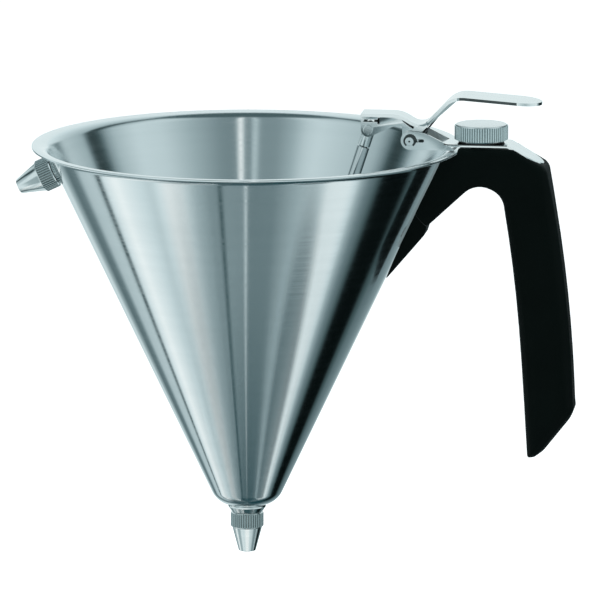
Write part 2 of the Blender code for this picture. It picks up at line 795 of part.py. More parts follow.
def slot_outline():
    """The T-shaped slot in each flange, behind the rod pin."""
    back = PIVOT.x - SLOT_REACH
    front = back - SLOT_WIDTH
    middle = PIVOT.z + BOX_RISE - SLOT_DROP
    leg = PIVOT.x - LEVER_FRONT_REACH + FLANGE_SHEET
    top, bottom = middle + SLOT_HEIGHT / 2, middle - SLOT_HEIGHT / 2
    upper, lower = middle + SLOT_WIDTH / 2, middle - SLOT_WIDTH / 2
    return [
        (back, bottom),
        (back, top),
        (front, top),
        (front, upper),
        (leg, upper),
        (leg, lower),
        (front, lower),
        (front, bottom),
    ]


def slit_outline():
    """The crescent left under the sheet where it curves down to the valley, widest at its lower end."""
    path = shifted(lever_path(), -LEVER_SHEET - FLANGE_STEP)
    start = PIVOT.x - SLIT_START_REACH
    run = [p for p in path if start < p[0] < start + SLIT_LENGTH]
    below = shifted(run, -SLIT_HEIGHT)
    under = []
    for i, (high, low) in enumerate(zip(run, below)):
        under.append(tuple(Vector(high).lerp(Vector(low), (i + 1) / len(run))))
    return run + under[::-1]


def tangent_angle(point, radius, side):
    """The angle on a circle about the pivot from which a straight leg reaches the point."""
    toward = math.atan2(point[1], point[0])
    return toward + side * math.acos(radius / math.hypot(*point))


def build_spring():
    """A torsion spring round the pivot pin. One leg lies on the plate, and the other lifts the lever's arm."""
    radius = SPRING_COIL_RADIUS
    half = SPRING_WIRE / 2
    plate_leg = Vector((SPRING_PLATE_LEG, PLATE_HEIGHT - PIVOT.z + GAP + half))
    rise = arm_direction()
    valley = Vector((VALLEY_REACH, VALLEY_RISE))
    arm = Vector((PAD_START_REACH, PAD_START_RISE)) - valley
    lever_leg = valley + arm * SPRING_LEVER_LEG_SHARE
    lever_leg += Vector((rise.y, -rise.x)) * (LEVER_SHEET + GAP + half)
    start = tangent_angle(plate_leg, radius, 1)
    end = tangent_angle(lever_leg, radius, -1)
    turn = (end - start) % (2 * math.pi) + 2 * math.pi * SPRING_TURNS
    count = round(turn / (2 * math.pi) * POINTS_A_TURN)
    width = SPRING_PITCH * turn / (2 * math.pi)
    coil = []
    for i in range(count + 1):
        angle = start + turn * i / count
        side = width * (i / count - 1 / 2)
        coil.append(Vector((radius * math.cos(angle), side, radius * math.sin(angle))))
    first = Vector((plate_leg.x, coil[0].y, plate_leg.y))
    last = Vector((lever_leg.x, coil[-1].y, lever_leg.y))
    points = [PIVOT + p for p in (first, *coil, last)]
    print_spring_gap(coil)
    keep(wire("lever_spring", points, half), RIM, DARK_STEEL)


def print_spring_gap(coil):
    """Prints the least gap between the coil's turns, measured on its own points."""
    far = POINTS_A_TURN // 2
    gaps = []
    for i, a in enumerate(coil):
        gaps += [(a - b).length for b in coil[i + far :]]
    print(f"lever_spring: least gap to itself {(min(gaps) - SPRING_WIRE) * 1000:.2f} mm")


def ball_height():
    """Where the ball rests on its conical seat, with a gap all round."""
    angle = math.atan((SEAT_RADIUS - BORE_RADIUS) / SEAT_DEPTH)
    apex = SPIGOT_TOP - SEAT_DEPTH - BORE_RADIUS / math.tan(angle)
    return apex + (BALL_RADIUS + GAP) / math.sin(angle)


def build_valve():
    """The rod hangs from the rod pin by its eye, and its ball shuts the outlet."""
    ball = Vector((0, 0, ball_height()))
    run = ROD_PIN - ball
    tilt = Euler((0, math.atan2(run.x, run.z), 0))
    length = run.length
    width = LEVER_WIDTH + 2 * GAP
    head = ROD_PIN_HEAD
    pin = [
        (0, width / 2 + head),
        (ROD_PIN_HEAD_RADIUS, width / 2 + head),
        (ROD_PIN_HEAD_RADIUS, width / 2),
        (ROD_PIN_RADIUS, width / 2),
        (ROD_PIN_RADIUS, -width / 2),
        (ROD_PIN_HEAD_RADIUS, -width / 2),
        (ROD_PIN_HEAD_RADIUS, -width / 2 - head),
        (0, -width / 2 - head),
    ]
    keep(turned("rod_pin", pin, PIN_STEPS, ROD_PIN, ACROSS), LEVER_PIVOT, PLATED)

    eye = cross_pin("rod_eye", ROD_PIN, EYE_RADIUS, EYE_THICKNESS)
    neck = [(0, 0), (ROD_RADIUS, 0), (ROD_RADIUS, -EYE_LENGTH), (0, -EYE_LENGTH)]
    cut(eye, turned("eye_neck", neck, PIN_STEPS, ROD_PIN, tilt), "UNION")
    hole = ROD_PIN_RADIUS + PIN_CLEARANCE
    cut(eye, cross_pin("eye_hole", ROD_PIN, hole, EYE_THICKNESS + OVERRUN))
    spigot_hole = ROD_SPIGOT_RADIUS + PIN_CLEARANCE
    end = -EYE_LENGTH
    deep = end + ROD_SPIGOT_LENGTH
    socket = [(0, deep), (spigot_hole, deep), (spigot_hole, end - OVERRUN), (0, end - OVERRUN)]
    cut(eye, turned("eye_socket", socket, PIN_STEPS, ROD_PIN, tilt))
    keep(eye, ROD_SWING, PLATED)

    top = -EYE_LENGTH - GAP
    bottom = -length + BALL_RADIUS
    rod = [
        (0, top + ROD_SPIGOT_LENGTH - GAP),
        (ROD_SPIGOT_RADIUS, top + ROD_SPIGOT_LENGTH - GAP),
        (ROD_SPIGOT_RADIUS, top),
        (ROD_RADIUS - ROD_CHAMFER, top),
        (ROD_RADIUS, top - ROD_CHAMFER),
        (ROD_RADIUS, bottom + ROD_CHAMFER),
        (ROD_RADIUS - ROD_CHAMFER, bottom),
        (ROD_SPIGOT_RADIUS, bottom),
        (ROD_SPIGOT_RADIUS, bottom - ROD_SPIGOT_LENGTH),
        (0, bottom - ROD_SPIGOT_LENGTH),
    ]
    keep(turned("valve_rod", rod, PIN_STEPS, ROD_PIN, tilt), ROD_SWING, STEEL)

    sphere = turned("valve_ball", arc((0, 0), BALL_RADIUS, 90, -90, 16), PIN_STEPS, ball, tilt)
    floor = BALL_RADIUS - ROD_SPIGOT_LENGTH - GAP
    above = BALL_RADIUS + OVERRUN
    socket = [(0, above), (spigot_hole, above), (spigot_hole, floor), (0, floor)]
    cut(sphere, turned("ball_socket", socket, PIN_STEPS, ball, tilt))
    keep(sphere, ROD_SWING, PLATED)


def build_knob():
    """The knob stops the lever's pad: screwed up, it lets the valve open less."""
    underside, top = KNOB_UNDERSIDE, KNOB_UNDERSIDE + KNOB_HEIGHT
    place = (KNOB_REACH, 0, 0)
    root = KNOB_RADIUS - KNOB_FLUTE_DEPTH
    body = [
        (0, top),
        (root - KNOB_CHAMFER, top),
        (root, top - KNOB_CHAMFER),
        (root, underside + KNOB_CHAMFER),
        (root - KNOB_CHAMFER, underside),
        (0, underside),
    ]
    knob = turned("flow_knob", body, FINE_STEPS, place)
    rim_top, rim_bottom = top - KNOB_CHAMFER, underside + KNOB_CHAMFER
    knurl = fluted(
        "knob_knurl", KNOB_RADIUS, KNOB_FLUTE_DEPTH, KNOB_FLUTES, rim_bottom, rim_top, place
    )
    cut(knob, knurl, "UNION")
    bore = STUD_RADIUS + PIN_CLEARANCE
    cut(knob, upright("knob_bore", bore, underside - OVERRUN, top - KNOB_ROOF))
    keep(knob, KNOB_TURN, PLATED)

    stud_top = top - KNOB_ROOF - GAP
    stud = [
        (0, stud_top),
        (STUD_RADIUS, stud_top),
        (STUD_RADIUS, stud_top - STUD_LENGTH + STUD_CHAMFER),
        (STUD_RADIUS - STUD_CHAMFER, stud_top - STUD_LENGTH),
        (0, stud_top - STUD_LENGTH),
    ]
    keep(turned("knob_stud", stud, PIN_STEPS, place), KNOB_TURN, STEEL)

    flange_bottom = PLATE_HEIGHT + GAP
    flange_top = flange_bottom + BUSH_FLANGE
    ring_bore = BUSH_FLANGE_RADIUS + GAP
    ring = [
        (RING_RADIUS, underside - GAP),
        (RING_RADIUS, flange_bottom),
        (ring_bore, flange_bottom),
        (ring_bore, underside - GAP),
    ]
    keep(turned("knob_ring", ring, FINE_STEPS, place), KNOB_LIFT, RUBBER)

    bush_bore = STUD_RADIUS + PIN_CLEARANCE
    bush = [
        (BUSH_FLANGE_RADIUS, flange_top),
        (BUSH_FLANGE_RADIUS, flange_bottom),
        (BUSH_RADIUS, flange_bottom),
        (BUSH_RADIUS, flange_top - BUSH_LENGTH),
        (bush_bore, flange_top - BUSH_LENGTH),
        (bush_bore, flange_top),
    ]
    keep(turned("clamp_bush", bush, PIN_STEPS, place), RIM, DARK_STEEL)


def outer_edge(share):
    """The grip's outer side, bulged a little, from the end of the slope to the heel."""
    start, end = slope_end(), (RIM_RADIUS + GRIP_END_OUTSET, -GRIP_HEEL_DROP)
    reach = start[0] + (end[0] - start[0]) * share + 4 * GRIP_BULGE * share * (1 - share)
    return (reach, start[1] + (end[1] - start[1]) * share)


def slope_end():
    """The handle's outer corner, just past the end of the plate and flush with it."""
    return (
        RIM_RADIUS + PLATE_END_OUTSET + SLOPE_LIP * math.cos(SLOPE_ANGLE),
        PLATE_HEIGHT - PLATE_END_DROP - SLOPE_LIP * math.sin(SLOPE_ANGLE),
    )


def share_at(height):
    """How far down the outer side a height lies."""
    return (slope_end()[1] - height) / (slope_end()[1] + GRIP_HEEL_DROP)


def top_or_slope(angle):
    """Where a ray from the arch's centre leaves the handle by its top or by the slope under the plate."""
    centre = Vector(arch_centre())
    ray = Vector((math.cos(angle), math.sin(angle)))
    bend = Vector((RIM_RADIUS + PLATE_BEND_OUTSET, PLATE_HEIGHT)) - centre
    normal = Vector((math.sin(SLOPE_ANGLE), math.cos(SLOPE_ANGLE)))
    reach = (HANDLE_TOP - centre.y) / ray.y
    if ray.dot(normal) > 0:
        reach = min(reach, bend.dot(normal) / ray.dot(normal))
    return tuple(centre + ray * reach)


def arch_centre():
    return (RIM_RADIUS + ARCH_OUTSET, -ARCH_DROP)


def arch_radius():
    """The arch meets the grip's inner side, which lies the grip's depth inside its outer side."""
    centre = arch_centre()
    return outer_edge(share_at(centre[1]))[0] - GRIP_DEPTH - centre[0]


def on_arch(angle):
    centre = arch_centre()
    radius = arch_radius()
    return (centre[0] + radius * math.cos(angle), centre[1] + radius * math.sin(angle))


def angle_from_arch(point):
    centre = arch_centre()
    return math.atan2(point[1] - centre[1], point[0] - centre[0])


def parting():
    """The joint between grip and leg: its point on the finger side, and its direction to the wall."""
    kink = Vector(wall_point(LEG_TOP_DROP, LEG_TOP_STANDOFF))
    away = kink - Vector(arch_centre())
    tangent = math.atan2(away.y, away.x) % (2 * math.pi) - math.acos(arch_radius() / away.length)
    return kink, tangent


def handle_stations():
    """Sections of the grip, fanned round the finger arch and then down to its end."""
    kink, first = parting()
    along = kink - Vector(on_arch(first))
    far = Vector(top_or_slope(first)) + along
    stations = [(tuple(kink), tuple(far), HANDLE_WIDTH, HANDLE_EDGE)]
    corner = RIM_RADIUS + PLATE_BEND_OUTSET + (PLATE_HEIGHT - HANDLE_TOP) / math.tan(SLOPE_ANGLE)
    bend = angle_from_arch((corner, HANDLE_TOP))
    last = Vector(slope_end()) - SLOPE_CORNER * Vector((math.cos(SLOPE_ANGLE), -math.sin(SLOPE_ANGLE)))
    end = angle_from_arch(last)
    for i in range(7):
        angle = first + (bend - first) * i / 6
        stations.append((on_arch(angle), top_or_slope(angle), HANDLE_WIDTH, HANDLE_EDGE))
    for i in range(1, 5):
        angle = bend + (end - bend) * i / 4
        edge = HANDLE_EDGE + (SLOPE_EDGE - HANDLE_EDGE) * i / 4
        stations.append((on_arch(angle), top_or_slope(angle), HANDLE_WIDTH, edge))
    begin = share_at(arch_centre()[1])
    after = share_at(slope_end()[1] - SLOPE_CORNER)
    for i in range(5):
        outer = outer_edge(after + (begin - after) * i / 4)
        edge = SLOPE_EDGE + (GRIP_EDGE - SLOPE_EDGE) * i / 4
        stations.append((on_arch(angle_from_arch(outer)), outer, HANDLE_WIDTH, edge))
    heel = Vector(outer_edge(1))
    tip = Vector((RIM_RADIUS + GRIP_TIP_OUTSET, -GRIP_TIP_DROP))
    across = Vector((GRIP_DEPTH, 0))
    for share in GRIP_STATION_SHARES:
        outer = Vector(outer_edge(begin + (1 - begin) * share))
        inner = outer - across + (tip - heel + across) * share**GRIP_SLANT_POWER
        stations.append((tuple(inner), tuple(outer), HANDLE_WIDTH, GRIP_EDGE))
    up = (heel - tip).normalized()
    below = Vector((up.y, -up.x))
    for inset, drop in ((GRIP_END_EDGE, GRIP_END_EDGE), (GRIP_EDGE, GRIP_END_EDGE + GRIP_END_DOME)):
        inner = tip + up * inset + below * drop
        outer = heel - up * inset + below * drop
        edge = max(GRIP_EDGE - inset, GRIP_END_EDGE)
        stations.append((tuple(inner), tuple(outer), HANDLE_WIDTH - 2 * inset, edge))
    return stations


def leg_thickness(drop):
    """How far the leg stands off the wall below its corner."""
    share = (drop - LEG_CORNER_DROP) / (LEG_TIP_DROP - LEG_CORNER_DROP)
    return LEG_THICKNESS + (LEG_TIP_THICKNESS - LEG_THICKNESS) * share


def leg_stations():
    """Sections of the leg, from its joint with the grip down the cone's wall."""
    kink, angle = parting()
    across = Vector((math.cos(angle), math.sin(angle)))
    top = kink + Vector((-across.y, across.x)) * GAP
    stations = [(tuple(top + across * 2 * LEG_THICKNESS), tuple(top), LEG_WIDTH, LEG_EDGE)]
    for share in LEG_STATION_SHARES:
        drop = LEG_CORNER_DROP + (LEG_TIP_DROP - LEG_CORNER_DROP) * share
        width = LEG_WIDTH + (LEG_TIP_WIDTH - LEG_WIDTH) * share**2
        high = wall_point(drop, leg_thickness(drop))
        stations.append((wall_point(drop, -LEG_EDGE), high, width, LEG_EDGE))
    return stations


def tang_path(rise=0.0, extra=0.0):
    """The middle line of the tang: up the wall, then level out through the handle."""
    standoff = GAP + TANG_THICKNESS / 2
    foot = wall_point(TANG_FOOT_DROP + extra, standoff)
    level = -TANG_LEVEL_DROP
    bend = wall_point(TANG_LEVEL_DROP, standoff)
    slip = (bend[1] - level) * math.tan(CONE_ANGLE)
    end = RIM_RADIUS + TANG_END_OUTSET + extra
    path = rounded([(*foot, 0), (bend[0] - slip, level, TANG_BEND_RADIUS), (end, level, 0)])
    return shifted(path, TANG_THICKNESS / 2 + rise)


def build_handle():
    grip = loft("handle_grip", handle_stations())
    leg = loft("handle_leg", leg_stations())
    wall = wall_cutter("wall_of_cone")
    slot = side_slab(
        "tang_slot",
        ribbon(tang_path(GAP, GAP), TANG_THICKNESS + 2 * GAP),
        TANG_WIDTH + 2 * GAP,
    )
    for piece in (grip, leg):
        cut(piece, wall)
        cut(piece, slot)
    cut(grip, plate_sheet("plate_recess", GAP))
    depth = PLATE_HEIGHT + BUSH_FLANGE - BUSH_LENGTH
    bush = BUSH_RADIUS + PIN_CLEARANCE
    cut(grip, upright("bush_hole_in_grip", bush, depth, PLATE_HEIGHT + OVERRUN))
    keep(grip, RIM, BLACK)

    tilt = (0, math.pi / 2 + CONE_ANGLE, 0)
    place = wall_point(SCREW_DROP, 0)
    place = (place[0], 0, place[1])
    sunk = leg_thickness(SCREW_DROP) - SCREW_SINK
    under = sunk - SCREW_HEAD
    hole = SCREW_RADIUS + PIN_CLEARANCE
    head = SCREW_HEAD_RADIUS + GAP
    drilling = [
        (0, LEG_THICKNESS + OVERRUN),
        (head, LEG_THICKNESS + OVERRUN),
        (head, under - GAP),
        (hole, under - GAP),
        (hole, -OVERRUN),
        (0, -OVERRUN),
    ]
    drill = turned("screw_drill", drilling, PIN_STEPS, place, tilt)
    cut(leg, drill)
    keep(leg, RIM, BLACK)

    tang = side_slab("handle_tang", ribbon(tang_path(), TANG_THICKNESS), TANG_WIDTH)
    cut(tang, upright("bush_hole_in_tang", bush, -TANG_LEVEL_DROP - OVERRUN, PLATE_HEIGHT))
    cut(tang, drill)
    keep(tang, RIM, STEEL)

    screw = [
        (0, sunk),
        (SCREW_HEAD_RADIUS, sunk),
        (SCREW_HEAD_RADIUS, under),
        (SCREW_RADIUS, under),
        (SCREW_RADIUS, 2 * GAP),
        (0, 2 * GAP),
    ]
    keep(turned("leg_screw", screw, PIN_STEPS, place, tilt), RIM, DARK_STEEL)


def bake_and_shade():
    """Turns every piece into a plain mesh, smooth but for its sharp edges."""
    graph = bpy.context.evaluated_depsgraph_get()
    baked = {}
    for obj in PARTS.objects:
        if obj.type == "MESH":
            baked[obj] = bpy.data.meshes.new_from_object(obj.evaluated_get(graph))
    for obj, mesh in baked.items():
        obj.modifiers.clear()
        mesh.name = obj.name
        obj.data = mesh
        mesh.shade_smooth()
        mesh.set_sharp_from_angle(angle=math.radians(SHARP_DEGREES))


clear_scene()
PARTS = new_collection("fondant_funnel")
CUTTERS = new_collection("cutters")

STEEL = new_material("brushed_steel", STEEL_COLOUR, 0.3, 1)
DARK_STEEL = new_material("dark_steel", DARK_STEEL_COLOUR, 0.4, 1)
PLATED = new_material("satin_plated", PLATED_COLOUR, 0.25, 1)
BLACK = new_material("black_plastic", BLACK_COLOUR, 0.45, 0)
RUBBER = new_material("black_rubber", RUBBER_COLOUR, 0.8, 0)

SPARE_TILT = (0, math.pi / 2 - CONE_ANGLE, 0)
SPARE_PLACE = wall_point(SPARE_DROP, SPARE_SEAT_THICKNESS + 2 * GAP, -1)

RIM = new_empty("rim_centre", (0, 0, RIM_HEIGHT))
LEVER_PIVOT = new_empty("lever_pivot", PIVOT, RIM)
ROD_SWING = new_empty("rod_swing", ROD_PIN, RIM)
KNOB_LIFT = new_empty("knob_lift", (KNOB_REACH, 0, PLATE_HEIGHT), RIM)
KNOB_TURN = new_empty("knob_turn", (KNOB_REACH, 0, KNOB_UNDERSIDE), RIM)
NOZZLE_TURN = new_empty("nozzle_turn", (0, 0, BOSS_SHOULDER - GAP), RIM)
SPARE_TURN = new_empty("spare_turn", (SPARE_PLACE[0], 0, SPARE_PLACE[1]), RIM)

build_cone()
build_outlet()
build_nozzle("nozzle", MAIN_TIP_RADIUS, MAIN_TIP_BORE, NOZZLE_TURN, (0, 0, 0))
build_spare_stud(SPARE_TILT)
build_nozzle("spare_nozzle", SPARE_TIP_RADIUS, SPARE_TIP_BORE, SPARE_TURN, SPARE_TILT)
build_bracket()
build_pivot_pin()
build_lever()
build_spring()
build_valve()
build_knob()
build_handle()
bake_and_shade()
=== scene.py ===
"""Fondant funnel with a lever valve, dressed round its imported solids. Metres, +Z up.

The cone's axis is Z, the handle points along +X and the spare nozzle along -X. Sizes are those
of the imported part, and heights count from the top of the rim until a piece is put in place.
"""

import math

import bmesh
import bpy
from mathutils import Matrix, Vector


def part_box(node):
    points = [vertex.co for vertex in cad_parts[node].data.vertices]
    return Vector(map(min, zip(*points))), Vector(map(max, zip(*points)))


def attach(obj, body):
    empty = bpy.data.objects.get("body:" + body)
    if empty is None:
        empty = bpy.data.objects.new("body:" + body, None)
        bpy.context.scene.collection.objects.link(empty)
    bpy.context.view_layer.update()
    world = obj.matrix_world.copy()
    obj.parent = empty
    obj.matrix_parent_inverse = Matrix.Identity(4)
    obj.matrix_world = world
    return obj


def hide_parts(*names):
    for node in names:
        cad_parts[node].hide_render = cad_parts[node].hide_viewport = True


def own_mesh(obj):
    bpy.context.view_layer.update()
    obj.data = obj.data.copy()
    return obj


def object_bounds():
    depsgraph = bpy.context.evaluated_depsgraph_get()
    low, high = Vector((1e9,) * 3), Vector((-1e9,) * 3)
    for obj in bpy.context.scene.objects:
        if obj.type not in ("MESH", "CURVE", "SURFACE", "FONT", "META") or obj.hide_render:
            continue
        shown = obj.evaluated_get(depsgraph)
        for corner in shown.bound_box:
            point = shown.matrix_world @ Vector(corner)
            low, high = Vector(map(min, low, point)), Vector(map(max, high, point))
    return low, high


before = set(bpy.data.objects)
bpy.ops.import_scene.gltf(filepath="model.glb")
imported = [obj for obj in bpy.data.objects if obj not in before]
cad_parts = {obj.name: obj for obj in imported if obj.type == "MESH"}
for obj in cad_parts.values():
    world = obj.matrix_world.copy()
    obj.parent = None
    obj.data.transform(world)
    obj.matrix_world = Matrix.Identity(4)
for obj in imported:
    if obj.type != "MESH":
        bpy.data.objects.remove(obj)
cad_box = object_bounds()

# The cone is spun from one stainless sheet and its rim is rolled out flat. The outside is
# polished nearly to a mirror, and the inside keeps the fine rings that the spinning left.

RIM_RADIUS = 0.095
CONE_TOP_RADIUS = 0.0897
CONE_FOOT_RADIUS = 0.0128
CONE_DEPTH = 0.1621
WALL = 0.0009
FLARE_RADIUS = 0.005
FOOT_ROUND = 0.0105
LIP_EDGE = 0.00035
OUTLET_HOLE = 0.0063
CONE_STEPS = 288
LIP_STEPS = 4
FLARE_STEPS = 12
FOOT_STEPS = 16
SHARP = math.radians(38)
CONE_ANGLE = math.atan((CONE_TOP_RADIUS - CONE_FOOT_RADIUS) / CONE_DEPTH)
RIM_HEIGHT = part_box("funnel_cone")[1].z


def arc(centre, radius, start, end, count):
    """Points on an arc in a profile, from one angle in degrees to another."""
    points = []
    for i in range(count + 1):
        angle = math.radians(start + (end - start) * i / count)
        points.append((centre[0] + radius * math.cos(angle), centre[1] + radius * math.sin(angle)))
    return points


def turned(name, profile, steps):
    """A profile of (radius, height) points turned about Z, closed on itself or at its two poles."""
    build = bmesh.new()
    rings = []
    for radius, height in profile:
        ring = []
        for i in range(steps if radius else 1):
            angle = 2 * math.pi * i / steps
            ring.append(build.verts.new((radius * math.cos(angle), radius * math.sin(angle), height)))
        rings.append(ring)
    if profile[0][0]:
        rings.append(rings[0])
    for above, below in zip(rings, rings[1:]):
        for i in range(steps):
            corners = [above[i % len(above)], above[(i + 1) % steps % len(above)]]
            corners += [below[(i + 1) % steps % len(below)], below[i % len(below)]]
            if len(set(corners)) > 2:
                build.faces.new(dict.fromkeys(corners))
    bmesh.ops.recalc_face_normals(build, faces=build.faces)
    mesh = bpy.data.meshes.new(name)
    build.to_mesh(mesh)
    build.free()
    obj = bpy.data.objects.new(name, mesh)
    bpy.context.scene.collection.objects.link(obj)
    return obj


def fit(piece, body, slot, *nodes, sharp=SHARP):
    """Shades a finished piece, and fixes it to its body in place of the solids that it stands for."""
    piece.data.shade_smooth()
    piece.data.set_sharp_from_angle(angle=sharp)
    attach(piece, body)
    if nodes:
        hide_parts(*nodes)


def cone_profile():
    """The cone's wall as (radius, height) points, down the outside and up the inside."""
    lean = 180 - math.degrees(CONE_ANGLE)
    half = (math.pi / 2 - CONE_ANGLE) / 2
    corner = CONE_TOP_RADIUS - WALL * math.tan(CONE_ANGLE)
    flare = (corner + FLARE_RADIUS * math.tan(half), -WALL - FLARE_RADIUS)
    foot = (CONE_FOOT_RADIUS - FOOT_ROUND * math.tan(half), FOOT_ROUND - CONE_DEPTH)
    lip = (RIM_RADIUS - LIP_EDGE, -WALL + LIP_EDGE)
    under = -math.degrees(CONE_ANGLE)

    def foot_arc(radius):
        end = -math.degrees(math.acos((OUTLET_HOLE - foot[0]) / radius))
        return arc(foot, radius, under, end, FOOT_STEPS)

    outside = arc(lip, LIP_EDGE, 0, -90, LIP_STEPS)
    outside += arc(flare, FLARE_RADIUS, 90, lean, FLARE_STEPS) + foot_arc(FOOT_ROUND)
    inside = foot_arc(FOOT_ROUND - WALL)[::-1]
    inside += arc(flare, FLARE_RADIUS + WALL, lean, 90, FLARE_STEPS)
    inside += arc((lip[0], -LIP_EDGE), LIP_EDGE, 90, 0, LIP_STEPS)
    return outside + inside


def new_group(name, inputs, outputs):
    """A shader node group with its sockets, and its input and output nodes."""
    tree = bpy.data.node_groups.new(name, "ShaderNodeTree")
    for label, kind, value in inputs:
        socket = tree.interface.new_socket(label, in_out="INPUT", socket_type=kind)
        if value is not None:
            socket.default_value = value
    for label, kind in outputs:
        tree.interface.new_socket(label, in_out="OUTPUT", socket_type=kind)
    return tree, tree.nodes.new("NodeGroupInput"), tree.nodes.new("NodeGroupOutput")


def round_the_axis_group():
    """Unrolls a place on a turned piece into (round, along, out) in metres."""
    tree, given, result = new_group(
        "round the axis",
        [("Place", "NodeSocketVector", None), ("Radius", "NodeSocketFloat", 0.05)],
        [("Unrolled", "NodeSocketVector")],
    )
    split = tree.nodes.new("ShaderNodeSeparateXYZ")
    turn = tree.nodes.new("ShaderNodeMath")
    turn.operation = "ARCTAN2"
    length = tree.nodes.new("ShaderNodeMath")
    length.operation = "MULTIPLY"
    out = tree.nodes.new("ShaderNodeVectorMath")
    out.operation = "LENGTH"
    join = tree.nodes.new("ShaderNodeCombineXYZ")
    link = tree.links.new
    link(given.outputs["Place"], split.inputs[0])
    link(split.outputs["Y"], turn.inputs[0])
    link(split.outputs["X"], turn.inputs[1])
    link(turn.outputs[0], length.inputs[0])
    link(given.outputs["Radius"], length.inputs[1])
    link(given.outputs["Place"], out.inputs[0])
    link(length.outputs[0], join.inputs["X"])
    link(split.outputs["Z"], join.inputs["Y"])
    link(out.outputs["Value"], join.inputs["Z"])
    link(join.outputs[0], result.inputs["Unrolled"])
    return tree


LINE_DETAIL = 3
BAND_SCALE = 0.12
BAND_DETAIL = 2
NOISE_LOW = 0.3
NOISE_HIGH = 0.7
QUARTER_TURN = 0.25


def hairlines_group():
    """Fine scratches that all run one way: long in X and close together in Y."""
    tree, given, result = new_group(
        "hairlines",
        [
            ("Place", "NodeSocketVector", None),
            ("Length", "NodeSocketFloat", 0.04),
            ("Spacing", "NodeSocketFloat", 0.0004),
        ],
        [("Lines", "NodeSocketFloat"), ("Bands", "NodeSocketFloat")],
    )
    sizes = tree.nodes.new("ShaderNodeCombineXYZ")
    scaled = tree.nodes.new("ShaderNodeVectorMath")
    scaled.operation = "DIVIDE"
    fine = tree.nodes.new("ShaderNodeTexNoise")
    fine.inputs["Scale"].default_value = 1
    fine.inputs["Detail"].default_value = LINE_DETAIL
    broad = tree.nodes.new("ShaderNodeTexNoise")
    broad.inputs["Scale"].default_value = BAND_SCALE
    broad.inputs["Detail"].default_value = BAND_DETAIL
    link = tree.links.new
    link(given.outputs["Length"], sizes.inputs["X"])
    link(given.outputs["Spacing"], sizes.inputs["Y"])
    link(given.outputs["Length"], sizes.inputs["Z"])
    link(given.outputs["Place"], scaled.inputs[0])
    link(sizes.outputs[0], scaled.inputs[1])
    link(scaled.outputs[0], fine.inputs["Vector"])
    link(scaled.outputs[0], broad.inputs["Vector"])
    link(fine.outputs[0], result.inputs["Lines"])
    link(broad.outputs[0], result.inputs["Bands"])
    return tree


ROUND_THE_AXIS = round_the_axis_group()
HAIRLINES = hairlines_group()


def metal(name, dark, light, smooth, rough, length, spacing, depth, turn=0, radius=None, stand=None):
    """A brushed metal. Its scratches run round the stand's Z at a radius, or else along X."""
    material = bpy.data.materials.new(name)
    material.use_nodes = True
    tree = material.node_tree
    shader = tree.nodes["Principled BSDF"]
    shader.inputs["Metallic"].default_value = 1
    shader.inputs["Anisotropic"].default_value = turn
    place = tree.nodes.new("ShaderNodeTexCoord").outputs["Object"]
    link = tree.links.new
    if stand:
        turned_to = tree.nodes.new("ShaderNodeMapping")
        turned_to.vector_type = "TEXTURE"
        turned_to.inputs["Location"].default_value = stand.to_translation()
        turned_to.inputs["Rotation"].default_value = stand.to_euler()
        link(place, turned_to.inputs["Vector"])
        place = turned_to.outputs["Vector"]
    if radius:
        around = tree.nodes.new("ShaderNodeGroup")
        around.node_tree = ROUND_THE_AXIS
        around.inputs["Radius"].default_value = radius
        link(place, around.inputs["Place"])
        place = around.outputs["Unrolled"]
    if turn:
        tangent = tree.nodes.new("ShaderNodeTangent")
        tangent.direction_type = "RADIAL"
        tangent.axis = "Z"
        shader.inputs["Anisotropic Rotation"].default_value = QUARTER_TURN
        link(tangent.outputs[0], shader.inputs["Tangent"])
    lines = tree.nodes.new("ShaderNodeGroup")
    lines.node_tree = HAIRLINES
    lines.inputs["Length"].default_value = length
    lines.inputs["Spacing"].default_value = spacing
    link(place, lines.inputs["Place"])
    colours = tree.nodes.new("ShaderNodeMix")
    colours.data_type = "RGBA"
    colours.inputs[6].default_value = (*dark, 1)
    colours.inputs[7].default_value = (*light, 1)
    link(lines.outputs["Bands"], colours.inputs[0])
    link(colours.outputs[2], shader.inputs["Base Color"])
    gloss = tree.nodes.new("ShaderNodeMapRange")
    gloss.inputs["From Min"].default_value = NOISE_LOW
    gloss.inputs["From Max"].default_value = NOISE_HIGH
    gloss.inputs["To Min"].default_value = smooth
    gloss.inputs["To Max"].default_value = rough
    link(lines.outputs["Lines"], gloss.inputs["Value"])
    link(gloss.outputs[0], shader.inputs["Roughness"])
    bump = tree.nodes.new("ShaderNodeBump")
    bump.inputs["Strength"].default_value = 1
    bump.inputs["Distance"].default_value = depth
    link(lines.outputs["Lines"], bump.inputs["Height"])
    link(bump.outputs[0], shader.inputs["Normal"])
    return material


POLISHED = metal(
    "polished_steel", (0.8, 0.84, 0.85), (0.88, 0.91, 0.92), smooth=0.07, rough=0.13,
    length=0.05, spacing=0.0006, depth=0.0000008, turn=0.5, radius=0.05,
)
BRUSHED = metal(
    "brushed_steel", (0.8, 0.84, 0.85), (0.87, 0.9, 0.91), smooth=0.12, rough=0.18,
    length=0.06, spacing=0.0005, depth=0.0000012, turn=0.8, radius=0.07,
)

cone = turned("cone", cone_profile(), CONE_STEPS)
cone.data.transform(Matrix.Translation((0, 0, RIM_HEIGHT)))
cone.data.materials.append(POLISHED)
cone.data.materials.append(BRUSHED)
for face in cone.data.polygons:
    outward = Vector((face.center.x, face.center.y, 0)).dot(face.normal) > 0
    face.material_index = 0 if outward else 1
fit(cone, "base", "steel", "funnel_cone")

# The outlet boss is turned, plated and set through the cone's foot. The ball shuts it from above,
# and the nozzle screws on below.

